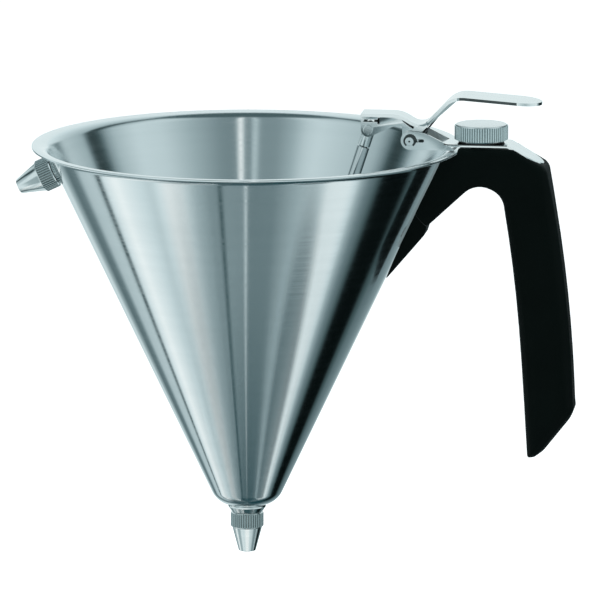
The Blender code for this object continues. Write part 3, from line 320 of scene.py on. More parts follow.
SPIGOT_RADIUS = 0.006
SPIGOT_RISE = 0.0007
BOSS_RADIUS = 0.0084
BOSS_EDGE = 0.0008
BOSS_NECK_RADIUS = 0.007
BOSS_DROP = 0.003
SEAT_RADIUS = 0.0053
SEAT_DEPTH = 0.0035
BORE_RADIUS = 0.0033
THREAD_RADIUS = 0.005
THREAD_LENGTH = 0.004
THREAD_PITCH = 0.0008
THREAD_CUT = 0.0003
GAP = 0.0003
FINE_STEPS = 96
TURNED_SHARP = math.radians(28)


def thread(radius, top, bottom):
    """The crests and roots of a thread as rings, down a spigot."""
    points = []
    turns = int((top - bottom) / THREAD_PITCH)
    for i in range(turns):
        crest = top - (i + 0.5) * THREAD_PITCH
        points.append((radius - THREAD_CUT, crest + THREAD_PITCH / 2))
        points.append((radius, crest))
    points.append((radius - THREAD_CUT, bottom))
    return points


def foot_underside(radius):
    """The height of the outside of the cone's rounded foot at a radius."""
    reach = CONE_FOOT_RADIUS - FOOT_ROUND * math.tan((math.pi / 2 - CONE_ANGLE) / 2)
    return FOOT_ROUND - CONE_DEPTH - math.sqrt(FOOT_ROUND**2 - (radius - reach) ** 2)


PLATED_DARK = (0.8, 0.83, 0.83)
PLATED_LIGHT = (0.9, 0.92, 0.92)
BOSS_SHOULDER = -CONE_DEPTH - BOSS_DROP
SPIGOT_TOP = -CONE_DEPTH + WALL + SPIGOT_RISE


def turned_metal(name, stand=None):
    """Plated bar, with the fine rings that the lathe leaves round a piece's own axis."""
    return metal(
        name, PLATED_DARK, PLATED_LIGHT, smooth=0.08, rough=0.14,
        length=0.01, spacing=0.0002, depth=0.000003, radius=0.006, stand=stand,
    )


TURNED_METAL = turned_metal("turned_metal")
boss = turned(
    "outlet",
    [
        (SPIGOT_RADIUS, SPIGOT_TOP),
        (SPIGOT_RADIUS, foot_underside(SPIGOT_RADIUS) - GAP),
        (BOSS_RADIUS - BOSS_EDGE / 4, foot_underside(BOSS_RADIUS) - GAP),
        (BOSS_RADIUS, foot_underside(BOSS_RADIUS) - GAP - BOSS_EDGE / 4),
        (BOSS_RADIUS, foot_underside(BOSS_RADIUS) - GAP - BOSS_EDGE),
        (BOSS_NECK_RADIUS, BOSS_SHOULDER),
        *thread(THREAD_RADIUS, BOSS_SHOULDER, BOSS_SHOULDER - THREAD_LENGTH),
        (BORE_RADIUS, BOSS_SHOULDER - THREAD_LENGTH),
        (BORE_RADIUS, SPIGOT_TOP - SEAT_DEPTH),
        (SEAT_RADIUS, SPIGOT_TOP),
    ],
    FINE_STEPS,
)
boss.data.transform(Matrix.Translation((0, 0, RIM_HEIGHT)))
boss.data.materials.append(TURNED_METAL)
fit(boss, "base", "plated", "outlet_boss", sharp=TURNED_SHARP)

# The two nozzles are turned from bar and plated: a ribbed collar to grip, and a taper to the tip.
# Each screws on over a rubber washer. The spare one, with the finer tip, is kept on the cone's wall.

COLLAR_RADIUS = 0.0073
COLLAR_LENGTH = 0.0069
COLLAR_CHAMFER = 0.0005
COLLAR_RIBS = 40
COLLAR_ROOT = 0.00695
RIB_RADIUS = 0.0004
RIB_SIDES = 16
STEEP = 0.1
TAPER_TOP_RADIUS = 0.0067
TAPER_LENGTH = 0.0108
MAIN_TIP_RADIUS = 0.00375
MAIN_TIP_BORE = 0.0025
SPARE_TIP_RADIUS = 0.00325
SPARE_TIP_BORE = 0.0018
TIP_EDGE = 0.0002
TIP_BORE_LENGTH = 0.003
SOCKET_RADIUS = 0.0053
SOCKET_DEPTH = 0.0055
GASKET_BORE = 0.0035
SPARE_DROP = 0.0126
SEAT_RIB_RADIUS = 0.0062
SEAT_THICKNESS = 0.0018
SEAT_RIBS = 24


def ribs_tree():
    """Half-sunk round ribs, parallel to Z and evenly spaced on a circle."""
    tree = bpy.data.node_groups.new("ribs round a collar", "GeometryNodeTree")
    new = tree.interface.new_socket
    new("Geometry", in_out="OUTPUT", socket_type="NodeSocketGeometry")
    new("Count", in_out="INPUT", socket_type="NodeSocketInt")
    for label in ("Circle", "Rib radius", "Length", "Height"):
        new(label, in_out="INPUT", socket_type="NodeSocketFloat")
    new("Finish", in_out="INPUT", socket_type="NodeSocketMaterial")
    add, link = tree.nodes.new, tree.links.new
    given, result = add("NodeGroupInput"), add("NodeGroupOutput")
    circle = add("GeometryNodeMeshCircle")
    rib = add("GeometryNodeMeshCylinder")
    rib.inputs["Vertices"].default_value = RIB_SIDES
    place = add("GeometryNodeInstanceOnPoints")
    height = add("ShaderNodeCombineXYZ")
    lift = add("GeometryNodeTransform")
    real = add("GeometryNodeRealizeInstances")
    finish = add("GeometryNodeSetMaterial")
    link(given.outputs["Count"], circle.inputs["Vertices"])
    link(given.outputs["Circle"], circle.inputs["Radius"])
    link(given.outputs["Rib radius"], rib.inputs["Radius"])
    link(given.outputs["Length"], rib.inputs["Depth"])
    link(circle.outputs["Mesh"], place.inputs["Points"])
    link(rib.outputs["Mesh"], place.inputs["Instance"])
    link(given.outputs["Height"], height.inputs["Z"])
    link(height.outputs[0], lift.inputs["Translation"])
    link(place.outputs[0], lift.inputs["Geometry"])
    link(lift.outputs[0], real.inputs[0])
    link(real.outputs[0], finish.inputs["Geometry"])
    link(given.outputs["Finish"], finish.inputs["Material"])
    link(finish.outputs[0], result.inputs[0])
    return tree


RIBS = ribs_tree()
# Painted shade: the wall between a collar's ribs gets a darker colour, which stands in for the shade down
# in the grooves.
PAINTED_GROOVE_SHADE = metal(
    "painted_groove_shade", (0.18, 0.21, 0.21), (0.26, 0.29, 0.29), smooth=0.35, rough=0.5,
    length=0.003, spacing=0.0003, depth=0.000003,
)
# Painted shade: the ribs, and the flat sides of the lever's arm, get a darker and more teal steel than
# the plating they are part of, standing in for their shade and the studio's dark reflections.
SHADE_PAINTED_METAL = metal(
    "shade_painted_metal", (0.3, 0.37, 0.38), (0.4, 0.47, 0.48), smooth=0.2, rough=0.3,
    length=0.003, spacing=0.0003, depth=0.000002,
)


def ribbed(body, count, circle, rib_radius, bottom, top, painted_groove_shade=PAINTED_GROOVE_SHADE, shade_painted_metal=SHADE_PAINTED_METAL):
    """Adds ribs round a turned body, with painted shade on the ribs, and painted shade, darker by
    default, on the body's own wall between them.
    """
    ribs = bpy.data.objects.new("ribs", bpy.data.meshes.new("ribs"))
    bpy.context.scene.collection.objects.link(ribs)
    modifier = ribs.modifiers.new("ribs", "NODES")
    modifier.node_group = RIBS
    values = {
        "Count": count,
        "Circle": circle,
        "Rib radius": rib_radius,
        "Length": top - bottom,
        "Height": (top + bottom) / 2,
        "Finish": shade_painted_metal,
    }
    for item in RIBS.interface.items_tree:
        if item.name in values:
            modifier[item.identifier] = values[item.name]
    make_plain(ribs)
    build = bmesh.new()
    build.from_mesh(body.data)
    plain = len(build.faces)
    build.from_mesh(ribs.data)
    build.to_mesh(body.data)
    build.free()
    bpy.data.objects.remove(ribs)
    body.data.materials.append(painted_groove_shade)
    body.data.materials.append(shade_painted_metal)
    for face in body.data.polygons:
        reach = Vector((face.center.x, face.center.y, 0)).length
        wall = reach > circle - rib_radius and abs(face.normal.z) < STEEP
        if face.index >= plain:
            face.material_index = 2
        elif wall and bottom < face.center.z < top:
            face.material_index = 1


def make_plain(obj):
    """Applies an object's modifiers to its mesh."""
    graph = bpy.context.evaluated_depsgraph_get()
    mesh = bpy.data.meshes.new_from_object(obj.evaluated_get(graph))
    obj.modifiers.clear()
    obj.data = mesh


def nozzle_profile(tip_radius, tip_bore):
    """A nozzle as (radius, height) points, from its rear face down the outside and up the bore."""
    taper_top = -COLLAR_LENGTH
    tip = taper_top - TAPER_LENGTH
    return [
        (COLLAR_ROOT - COLLAR_CHAMFER, 0),
        (COLLAR_ROOT, -COLLAR_CHAMFER),
        (COLLAR_ROOT, taper_top + COLLAR_CHAMFER),
        (TAPER_TOP_RADIUS, taper_top),
        (TAPER_TOP_RADIUS - COLLAR_CHAMFER / 5, taper_top - COLLAR_CHAMFER / 5),
        (tip_radius + TIP_EDGE / 4, tip + TIP_EDGE),
        (tip_radius - TIP_EDGE, tip),
        (tip_bore + TIP_EDGE, tip),
        (tip_bore, tip + TIP_EDGE),
        (tip_bore, tip + TIP_BORE_LENGTH),
        (GASKET_BORE, -SOCKET_DEPTH),
        (SOCKET_RADIUS, -SOCKET_DEPTH),
        (SOCKET_RADIUS, 0),
    ]


def wall_point(drop, standoff, side):
    """A point beside the cone's outside, below the rim's top, on the handle's side or the other."""
    reach = CONE_TOP_RADIUS - drop * math.tan(CONE_ANGLE) + standoff * math.cos(CONE_ANGLE)
    return Vector((side * reach, 0, RIM_HEIGHT - drop - standoff * math.sin(CONE_ANGLE)))


def nozzle(name, tip_radius, tip_bore, stand, finish, body, node):
    """A nozzle that points down its stand's own -Z, with its rear face on the stand."""
    piece = turned(name, nozzle_profile(tip_radius, tip_bore), FINE_STEPS)
    piece.data.materials.append(finish)
    top, bottom = -COLLAR_CHAMFER, COLLAR_CHAMFER - COLLAR_LENGTH
    ribbed(piece, COLLAR_RIBS, COLLAR_RADIUS - RIB_RADIUS, RIB_RADIUS, bottom, top)
    piece.data.transform(stand)
    fit(piece, body, "plated", node, sharp=TURNED_SHARP)


MAIN_STAND = Matrix.Translation((0, 0, RIM_HEIGHT + BOSS_SHOULDER - GAP))
LEAN = Matrix.Rotation(math.pi / 2 - CONE_ANGLE, 4, "Y")
SPARE_STAND = Matrix.Translation(wall_point(SPARE_DROP, SEAT_THICKNESS + 2 * GAP, -1)) @ LEAN
SEAT_STAND = Matrix.Translation(wall_point(SPARE_DROP, GAP, -1)) @ LEAN
SPARE_METAL = turned_metal("spare_nozzle_metal", SPARE_STAND)
nozzle(
    "main_nozzle_body", MAIN_TIP_RADIUS, MAIN_TIP_BORE,
    MAIN_STAND, TURNED_METAL, "main_nozzle", "nozzle",
)
nozzle(
    "spare_nozzle_body", SPARE_TIP_RADIUS, SPARE_TIP_BORE,
    SPARE_STAND, SPARE_METAL, "stored_nozzle", "spare_nozzle",
)

seat_root = SEAT_RIB_RADIUS - RIB_RADIUS
seat = turned(
    "spare_seat",
    [
        (0, 0),
        (seat_root, 0),
        (seat_root, -SEAT_THICKNESS),
        *thread(THREAD_RADIUS, -SEAT_THICKNESS, -SEAT_THICKNESS - THREAD_LENGTH),
        (0, -SEAT_THICKNESS - THREAD_LENGTH),
    ],
    FINE_STEPS,
)
seat.data.materials.append(SPARE_METAL)
ribbed(seat, SEAT_RIBS, seat_root, RIB_RADIUS, -SEAT_THICKNESS, 0, SHADE_PAINTED_METAL)
seat.data.transform(SEAT_STAND)
fit(seat, "base", "plated", "spare_stud")

WELD = 0.000002
FLAT_DEGREES = 0.5
FACET = math.radians(18)
WASHER_EDGE = 0.00015


def plain_material(name, colour, rough, shine):
    """A material of one colour, the same all over."""
    material = bpy.data.materials.new(name)
    material.use_nodes = True
    shader = material.node_tree.nodes["Principled BSDF"]
    shader.inputs["Base Color"].default_value = (*colour, 1)
    shader.inputs["Roughness"].default_value = rough
    shader.inputs["Specular IOR Level"].default_value = shine
    return material


def finished(node, name, edge, body, slot, finish, segments=2):
    """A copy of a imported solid, with its flat faces made whole and its edges broken."""
    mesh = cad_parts[node].data.copy()
    build = bmesh.new()
    build.from_mesh(mesh)
    bmesh.ops.remove_doubles(build, verts=build.verts, dist=WELD)
    bmesh.ops.dissolve_limit(
        build, angle_limit=math.radians(FLAT_DEGREES), verts=build.verts, edges=build.edges
    )
    build.to_mesh(mesh)
    build.free()
    mesh.materials.clear()
    mesh.materials.append(finish)
    obj = bpy.data.objects.new(name, mesh)
    bpy.context.scene.collection.objects.link(obj)
    if edge:
        bevel = obj.modifiers.new("edges", "BEVEL")
        bevel.width = edge
        bevel.segments = segments
        bevel.limit_method = "ANGLE"
        bevel.angle_limit = SHARP
        make_plain(obj)
    fit(obj, body, slot, node, sharp=FACET)
    return obj


RUBBER = plain_material("washer_rubber", (0.02, 0.02, 0.021), rough=0.7, shine=0.3)
finished("nozzle_gasket", "main_washer", WASHER_EDGE, "main_gasket", "rubber", RUBBER)
finished("spare_nozzle_gasket", "spare_washer", WASHER_EDGE, "stored_gasket", "rubber", RUBBER)

# The bracket is one folded steel plate. Its two ears carry the lever's pin, and it runs over the
# rim and down the top of the handle, with the knob's bush through it.

SHEET_METAL = metal(
    "polished_sheet", PLATED_DARK, PLATED_LIGHT, smooth=0.08, rough=0.14,
    length=0.02, spacing=0.0004, depth=0.000001,
)
SATIN_STEEL = metal(
    "satin_steel", PLATED_DARK, PLATED_LIGHT, smooth=0.36, rough=0.46,
    length=0.01, spacing=0.0004, depth=0.000001,
)
DARK_STEEL = metal(
    "dark_steel", (0.16, 0.17, 0.18), (0.28, 0.29, 0.3), smooth=0.25, rough=0.4,
    length=0.002, spacing=0.0003, depth=0.000002,
)
# Nearly black steel: the pivot clip's own colour, and painted shade between the ears, on the plate's
# edges, inside the lever, on the pad's sides and the arm's top edges, and in the pivot pin's centre hole.
BLACK_CLIP_AND_SHADE_STEEL = metal(
    "black_clip_and_shade_steel", (0.05, 0.06, 0.06), (0.12, 0.14, 0.14), smooth=0.4, rough=0.55,
    length=0.004, spacing=0.0004, depth=0.000003,
)
PLATE_EDGE = 0.0003
PLATE_LINE = 0.07075
PLATE_FROM = 0.0885
SLOPE_FROM = 0.1165
EAR_INSIDE = 0.0073
EAR_DARK_TO = 0.0795
EAR_BACK_TO = 0.0935
PIVOT_REACH = 0.0735
PIVOT_HEIGHT = 0.072375
PIN_EDGE = 0.0002
PIN_END = -0.0103
MARK_RADIUS = 0.00045
MARK_DEPTH = 0.00004
MARK_SIDES = 24
SIDEWAYS = 0.7
DOWNWARD = -0.3
EDGE_FACING = 0.3
SLOPE_EDGE_FACING = 0.2


def centre_mark(pin, end):
    """A thin disc of painted shade for the hole that the lathe's centre leaves in a pin's end."""
    build = bmesh.new()
    build.from_mesh(pin.data)
    pin.data.materials.append(BLACK_CLIP_AND_SHADE_STEEL)
    before = len(build.faces)
    bmesh.ops.create_cone(
        build,
        cap_ends=True,
        segments=MARK_SIDES,
        radius1=MARK_RADIUS,
        radius2=MARK_RADIUS,
        depth=MARK_DEPTH,
        matrix=Matrix.Translation(end) @ Matrix.Rotation(math.pi / 2, 4, "X"),
    )
    build.faces.ensure_lookup_table()
    for face in build.faces[before:]:
        face.material_index = 1
    build.to_mesh(pin.data)
    build.free()


def split_across(obj, *reaches, level=None):
    """Splits a pressing's faces at distances from the cone's axis and at one height."""
    cut = bmesh.new()
    cut.from_mesh(obj.data)
    planes = [((reach, 0, 0), (1, 0, 0)) for reach in reaches]
    if level:
        planes.append(((0, 0, level), (0, 0, 1)))
    for place, across in planes:
        whole = cut.verts[:] + cut.edges[:] + cut.faces[:]
        bmesh.ops.bisect_plane(cut, geom=whole, plane_co=place, plane_no=across)
    cut.to_mesh(obj.data)
    cut.free()


def finish_faces(obj, finish, chosen):
    """Gives another material to the faces of a pressing that a test of place and facing picks: painted
    shade, or a rougher satin.
    """
    obj.data.materials.append(finish)
    for face in obj.data.polygons:
        if chosen(face.center, face.normal):
            face.material_index = len(obj.data.materials) - 1


def turned_in(place, facing):
    """The faces of the two cheeks of a pressing that look at each other."""
    return facing.y * place.y < 0 and abs(facing.y) > SIDEWAYS


def between_ears(place, facing):
    """The faces between the ears that get painted shade: their cheeks round the pivot, and what looks
    down.
    """
    inner = abs(place.y) < EAR_INSIDE and place.x < EAR_DARK_TO
    return inner and (turned_in(place, facing) or facing.z < DOWNWARD)


def ear_backs(place, facing):
    """The facing cheeks of the ears behind the pivot, which get no painted shade."""
    behind = EAR_DARK_TO < place.x < EAR_BACK_TO and abs(place.y) < EAR_INSIDE
    return behind and turned_in(place, facing)


def plate_edges(place, facing):
    """Both long edges of the level plate, and the far edge of the part that slopes down, which get
    painted shade.
    """
    if place.x < SLOPE_FROM:
        level = place.x > PLATE_FROM and place.z > PLATE_LINE
        return level and abs(facing.y) > EDGE_FACING
    return facing.y > SLOPE_EDGE_FACING


bracket = finished("lever_bracket", "bracket", PLATE_EDGE, "base", "steel", SHEET_METAL)
split_across(bracket, EAR_DARK_TO, PLATE_FROM, SLOPE_FROM, level=PLATE_LINE)
finish_faces(bracket, BLACK_CLIP_AND_SHADE_STEEL, between_ears)
finish_faces(bracket, SATIN_STEEL, ear_backs)
finish_faces(bracket, BLACK_CLIP_AND_SHADE_STEEL, plate_edges)
pin = finished("pivot_pin", "lever_pin", PIN_EDGE, "base", "plated", SHEET_METAL)
centre_mark(pin, Vector((PIVOT_REACH, PIN_END, PIVOT_HEIGHT)))
finished("pivot_clip", "lever_pin_clip", PIN_EDGE / 2, "base", "dark_steel", BLACK_CLIP_AND_SHADE_STEEL)
finished("clamp_bush", "knob_bush", PIN_EDGE, "base", "dark_steel", DARK_STEEL)

# The lever is pressed from one sheet: a box with a lobe for the rod's pin, an arm that rises from
# the valley over the pivot, and a thumb pad with a round end.

LEVER_INSIDE = 0.0056
LEVER_BACK = 0.086
ARM_FROM = 0.081
PAD_FROM = 0.0955
PAD_TO = 0.121
FLAT_SIDE = 0.97
ROUNDED_EDGE = 0.2


def inside_lever(place, facing):
    """The inside of the lever's box that gets painted shade: its cheeks, and the roof between them."""
    inner = abs(place.y) < LEVER_INSIDE and place.x < LEVER_BACK
    return inner and (turned_in(place, facing) or facing.z < DOWNWARD)


def pad_sides(place, facing):
    """The sheared edges along the thumb pad, short of its round end, which get painted shade."""
    return PAD_FROM < place.x < PAD_TO and abs(facing.y) > FLAT_SIDE


def arm_sides(place, facing):
    """The flat sides of the rising arm, which get painted shade."""
    return ARM_FROM < place.x < PAD_FROM and abs(facing.y) > FLAT_SIDE


def arm_upper_edges(place, facing):
    """The rounded edges along the top of the rising arm, which get painted shade."""
    on_arm = ARM_FROM < place.x < PAD_FROM
    return on_arm and ROUNDED_EDGE < abs(facing.y) < FLAT_SIDE and facing.z > 0


lever = finished("lever", "thumb_lever", PLATE_EDGE, "lever_arm", "plated", SHEET_METAL)
finish_faces(lever, BLACK_CLIP_AND_SHADE_STEEL, inside_lever)
split_across(lever, ARM_FROM, PAD_FROM)
finish_faces(lever, BLACK_CLIP_AND_SHADE_STEEL, pad_sides)
finish_faces(lever, SHADE_PAINTED_METAL, arm_sides)
finish_faces(lever, BLACK_CLIP_AND_SHADE_STEEL, arm_upper_edges)
finished("rod_pin", "rod_hinge_pin", PIN_EDGE, "lever_arm", "plated", SHEET_METAL)

# The spring is wound from wire round the pivot pin. One leg lies on the plate, and the other
# pushes the lever's arm up, which keeps the valve shut.

spring = finished("lever_spring", "return_spring", 0, "base", "dark_steel", DARK_STEEL)
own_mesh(spring)

# The valve rod is bright bar. It hangs from the lever by its eye, and the ball on its lower end
# shuts the outlet.

ROD_METAL = metal(
    "bright_bar", (0.62, 0.66, 0.67), (0.72, 0.75, 0.76), smooth=0.04, rough=0.08,
    length=0.03, spacing=0.0003, depth=0.0000005,
)
finished("rod_eye", "rod_head", PIN_EDGE, "valve", "plated", SHEET_METAL)
finished("valve_rod", "rod", PIN_EDGE / 2, "valve", "steel", ROD_METAL)
finished("valve_ball", "ball", 0, "valve", "plated", SHEET_METAL)

# The flow knob is turned and plated, with fine straight ribs round its edge. Its stud screws into
# the bush, over a soft ring, and the lever's pad stops on it.

KNOB_REACH = 0.1042
KNOB_UNDERSIDE = 0.0053
KNOB_SKIRT = 0.0042
KNOB_RECESS = 0.0105
KNOB_HEIGHT = 0.0062
KNOB_RADIUS = 0.0118
KNOB_ROOT = 0.0114
KNOB_CHAMFER = 0.0006
KNOB_RIBS = 64
KNOB_RIB_RADIUS = 0.0004
KNOB_BORE = 0.0033
KNOB_ROOF = 0.0018
KNOB_STAND = Matrix.Translation((KNOB_REACH, 0, RIM_HEIGHT))
KNOB_METAL = metal(
    "knob_metal", PLATED_DARK, PLATED_LIGHT, smooth=0.2, rough=0.3,
    length=0.02, spacing=0.0002, depth=0.000003, radius=0.01, stand=KNOB_STAND,
)
# Painted shade: the wall between the knob's ribs is darker, for the shade down in its grooves.
KNOB_PAINTED_GROOVE_SHADE = metal(
    "knob_painted_groove_shade", (0.24, 0.29, 0.29), (0.34, 0.39, 0.4), smooth=0.3, rough=0.45,
    length=0.003, spacing=0.0003, depth=0.000003,
)
# Painted shade and reflection: the knob's ribs are darker and more teal than its plating.
KNOB_SHADE_PAINTED_METAL = metal(
    "knob_shade_painted_metal", (0.57, 0.66, 0.67), (0.68, 0.77, 0.78), smooth=0.14, rough=0.24,
    length=0.003, spacing=0.0003, depth=0.000002,
)
knob_top = KNOB_UNDERSIDE + KNOB_HEIGHT
knob = turned(
    "knob",
    [
        (0, knob_top),
        (KNOB_ROOT - 2 * KNOB_CHAMFER, knob_top),
        (KNOB_ROOT - KNOB_CHAMFER, knob_top),
        (KNOB_ROOT - KNOB_CHAMFER / 3, knob_top - KNOB_CHAMFER / 4),
        (KNOB_ROOT, knob_top - KNOB_CHAMFER),
        (KNOB_ROOT, KNOB_SKIRT + KNOB_CHAMFER),
        (KNOB_ROOT - KNOB_CHAMFER, KNOB_SKIRT),
        (KNOB_RECESS, KNOB_SKIRT),
        (KNOB_RECESS, KNOB_UNDERSIDE),
        (KNOB_BORE, KNOB_UNDERSIDE),
        (KNOB_BORE, knob_top - KNOB_ROOF),
        (0, knob_top - KNOB_ROOF),
    ],
    FINE_STEPS,
)
knob.data.materials.append(KNOB_METAL)
ribbed(
    knob,
    KNOB_RIBS,
    KNOB_RADIUS - KNOB_RIB_RADIUS,
    KNOB_RIB_RADIUS,
    KNOB_SKIRT + KNOB_CHAMFER,
    knob_top - KNOB_CHAMFER,
    KNOB_PAINTED_GROOVE_SHADE,
    KNOB_SHADE_PAINTED_METAL,
)
knob.data.transform(KNOB_STAND)
fit(knob, "knob", "plated", "flow_knob")
finished("knob_stud", "knob_screw", PIN_EDGE, "knob", "steel", SHEET_METAL)
finished("knob_ring", "knob_washer", WASHER_EDGE, "knob_seat", "rubber", RUBBER)

# The handle is moulded in black plastic in two pieces: the grip, and the leg that lies against
# the cone. A steel tang runs through both, and a sunk screw pulls the leg onto it.

MOULD_VOXEL = 0.0005
MOULD_SMOOTHING = 16
LEG_EDGE = 0.0006
LEG_EDGE_STEPS = 3
PLASTIC_BLACK = (0.0016, 0.0032, 0.0028)
PLASTIC_PALER = 1.6
PLASTIC_ROUGH = 0.55
PLASTIC_SPREAD = 0.08
PLASTIC_SHINE = 0.08
PLASTIC_SHEEN = (0.4, 0.44, 0.43)
GRAIN_SCALE = 2500
GRAIN_DETAIL = 2
GRAIN_STRENGTH = 0.6
GRAIN_DEPTH = 0.00003
PATCH_SCALE = 60


def grained_plastic():
    """Black plastic with the mould's fine grain, a little paler in patches."""
    material = plain_material("black_plastic", PLASTIC_BLACK, PLASTIC_ROUGH, PLASTIC_SHINE)
    tree = material.node_tree
    shader = tree.nodes["Principled BSDF"]
    shader.inputs["Specular Tint"].default_value = (*PLASTIC_SHEEN, 1)
    place = tree.nodes.new("ShaderNodeTexCoord")
    grain = tree.nodes.new("ShaderNodeTexNoise")
    grain.inputs["Scale"].default_value = GRAIN_SCALE
    grain.inputs["Detail"].default_value = GRAIN_DETAIL
    patch = tree.nodes.new("ShaderNodeTexNoise")
    patch.inputs["Scale"].default_value = PATCH_SCALE
    mix = tree.nodes.new("ShaderNodeMix")
    mix.data_type = "RGBA"
    mix.inputs[6].default_value = (*PLASTIC_BLACK, 1)
    mix.inputs[7].default_value = (*[PLASTIC_PALER * part for part in PLASTIC_BLACK], 1)
    gloss = tree.nodes.new("ShaderNodeMapRange")
    gloss.inputs["To Min"].default_value = PLASTIC_ROUGH - PLASTIC_SPREAD
    gloss.inputs["To Max"].default_value = PLASTIC_ROUGH + PLASTIC_SPREAD
    bump = tree.nodes.new("ShaderNodeBump")
    bump.inputs["Strength"].default_value = GRAIN_STRENGTH
    bump.inputs["Distance"].default_value = GRAIN_DEPTH
    link = tree.links.new
    link(place.outputs["Object"], grain.inputs["Vector"])
    link(place.outputs["Object"], patch.inputs["Vector"])
    link(patch.outputs[0], mix.inputs[0])
    link(mix.outputs[2], shader.inputs["Base Color"])
    link(grain.outputs[0], gloss.inputs["Value"])
    link(gloss.outputs[0], shader.inputs["Roughness"])
    link(grain.outputs[0], bump.inputs["Height"])
    link(bump.outputs[0], shader.inputs["Normal"])
    return material


BLACK_PLASTIC = grained_plastic()


def moulded(node, name):
    """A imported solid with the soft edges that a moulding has."""
    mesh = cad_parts[node].data.copy()
    mesh.materials.clear()
    mesh.materials.append(BLACK_PLASTIC)
    obj = bpy.data.objects.new(name, mesh)
    bpy.context.scene.collection.objects.link(obj)
    weld = obj.modifiers.new("weld", "WELD")
    weld.merge_threshold = WELD
    remesh = obj.modifiers.new("skin", "REMESH")
    remesh.mode = "VOXEL"
    remesh.voxel_size = MOULD_VOXEL
    smooth = obj.modifiers.new("soft", "SMOOTH")
    smooth.iterations = MOULD_SMOOTHING
    make_plain(obj)
    fit(obj, "base", "black", node)
    return obj


# Painted shade: the tang is given dark steel for the shade it lies in, between the grip and the cone.
TANG_PAINTED_SHADE_METAL = metal(
    "tang_painted_shade_steel", (0.2, 0.24, 0.25), (0.3, 0.34, 0.35), smooth=0.3, rough=0.42,
    length=0.02, spacing=0.0003, depth=0.000002,
)
grip = moulded("handle_grip", "grip")
leg = finished(
    "handle_leg", "grip_leg", LEG_EDGE, "base", "black", BLACK_PLASTIC, LEG_EDGE_STEPS
)
# The studio's cards alone make the dark streaks in the steel, so it doesn't mirror the handle.
grip.visible_glossy = False
leg.visible_glossy = False
finished("handle_tang", "tang", PIN_EDGE, "base", "steel", TANG_PAINTED_SHADE_METAL)
finished("leg_screw", "sunk_screw", PIN_EDGE, "base", "dark_steel", DARK_STEEL)

# The camera stands well back, a little above the rim, as the photograph has it. A pixel of the
# picture spans PIXEL at the rim's centre, which is seen at RIM_PIXEL.

IMAGE_SIZE = 616
PIXEL = 0.0004414
CAMERA_DISTANCE = 4.0
CAMERA_AZIMUTH = math.radians(7.5)
CAMERA_TILT = math.radians(10.58)
RIM_PIXEL = (246.7, 144.2)
SENSOR = 36.0
CLIP_END = 100.0

right = Vector((math.cos(CAMERA_AZIMUTH), math.sin(CAMERA_AZIMUTH), 0))
forward = Vector(
    (
        -math.sin(CAMERA_AZIMUTH) * math.cos(CAMERA_TILT),
        math.cos(CAMERA_AZIMUTH) * math.cos(CAMERA_TILT),
        -math.sin(CAMERA_TILT),
    )
)
up = right.cross(forward)
centre = Vector((0, 0, RIM_HEIGHT))
centre += right * (IMAGE_SIZE / 2 - RIM_PIXEL[0]) * PIXEL
centre += up * (RIM_PIXEL[1] - IMAGE_SIZE / 2) * PIXEL
camera = bpy.data.objects.new("camera", bpy.data.cameras.new("camera"))
bpy.context.scene.collection.objects.link(camera)
camera.data.sensor_width = SENSOR
camera.data.lens = SENSOR * CAMERA_DISTANCE / (IMAGE_SIZE * PIXEL)
camera.data.clip_end = CLIP_END
turn = Matrix((right, up, -forward)).transposed()
camera.matrix_world = Matrix.Translation(centre - forward * CAMERA_DISTANCE) @ turn.to_4x4()
bpy.context.scene.camera = camera

# The studio is a ring of pale and dark cards, which the steel mirrors, over a white table. Azimuths
# count in degrees from the camera towards the handle's side, and tones run from black to white.

CARDS_BELOW = [
    (-180, 0.7), (-160, 0.76), (-151, 0.5), (-146, 0.34), (-139, 0.4), (-134, 0.66), (-124, 0.7),
    (-120.5, 0.62), (-119.6, 0.12), (-117.4, 0.12), (-116.5, 0.8), (-106, 0.93), (-95, 0.86),
    (-81, 0.72), (-68, 0.93), (-56, 0.86), (-47, 0.65), (-34, 0.49), (-26.5, 0.48), (-25.5, 0.22),
    (-23, 0.22), (-22, 0.53), (-4, 0.5), (-1.8, 0.48), (-1.2, 0.9), (0.6, 0.9), (1.4, 0.44),
    (26, 0.44), (52, 0.65), (70, 0.86), (86, 0.86), (90, 0.8),
]
CARDS_BELOW_RIGHT = [
    (90, 0.82), (94, 0.58), (99, 0.42), (105, 0.3), (107, 0.2), (110, 0.0), (130, 0.0), (134, 0.2),
    (141, 0.34), (149, 0.4), (162, 0.48), (172, 0.7), (180, 0.9),
]
CARDS_LOW = [
    (-180, 0.7), (-160, 0.76), (-151, 0.5), (-146, 0.34), (-139, 0.4), (-134, 0.66), (-124, 0.7),
    (-120.5, 0.62), (-119.6, 0.12), (-117.4, 0.12), (-116.5, 0.8), (-106, 0.93), (-95, 0.8),
    (-84, 0.55), (-66, 0.6), (-56, 0.82), (-30, 0.8), (-10, 0.92), (14, 0.92),
    (28, 0.78), (52, 0.7), (66, 0.45), (80, 0.45), (90, 0.6),
]
CARDS_LEVEL = [
    (-180, 0.86), (-165, 0.84), (-155, 0.3), (-140, 0.35), (-128, 0.8), (-60, 0.8), (-40, 0.84),
    (-5, 0.84), (5, 0.72), (30, 0.62), (60, 0.8), (95, 0.85), (108, 0.5), (118, 0.06), (146, 0.04),
    (156, 0.5), (168, 0.84), (180, 0.86),
]
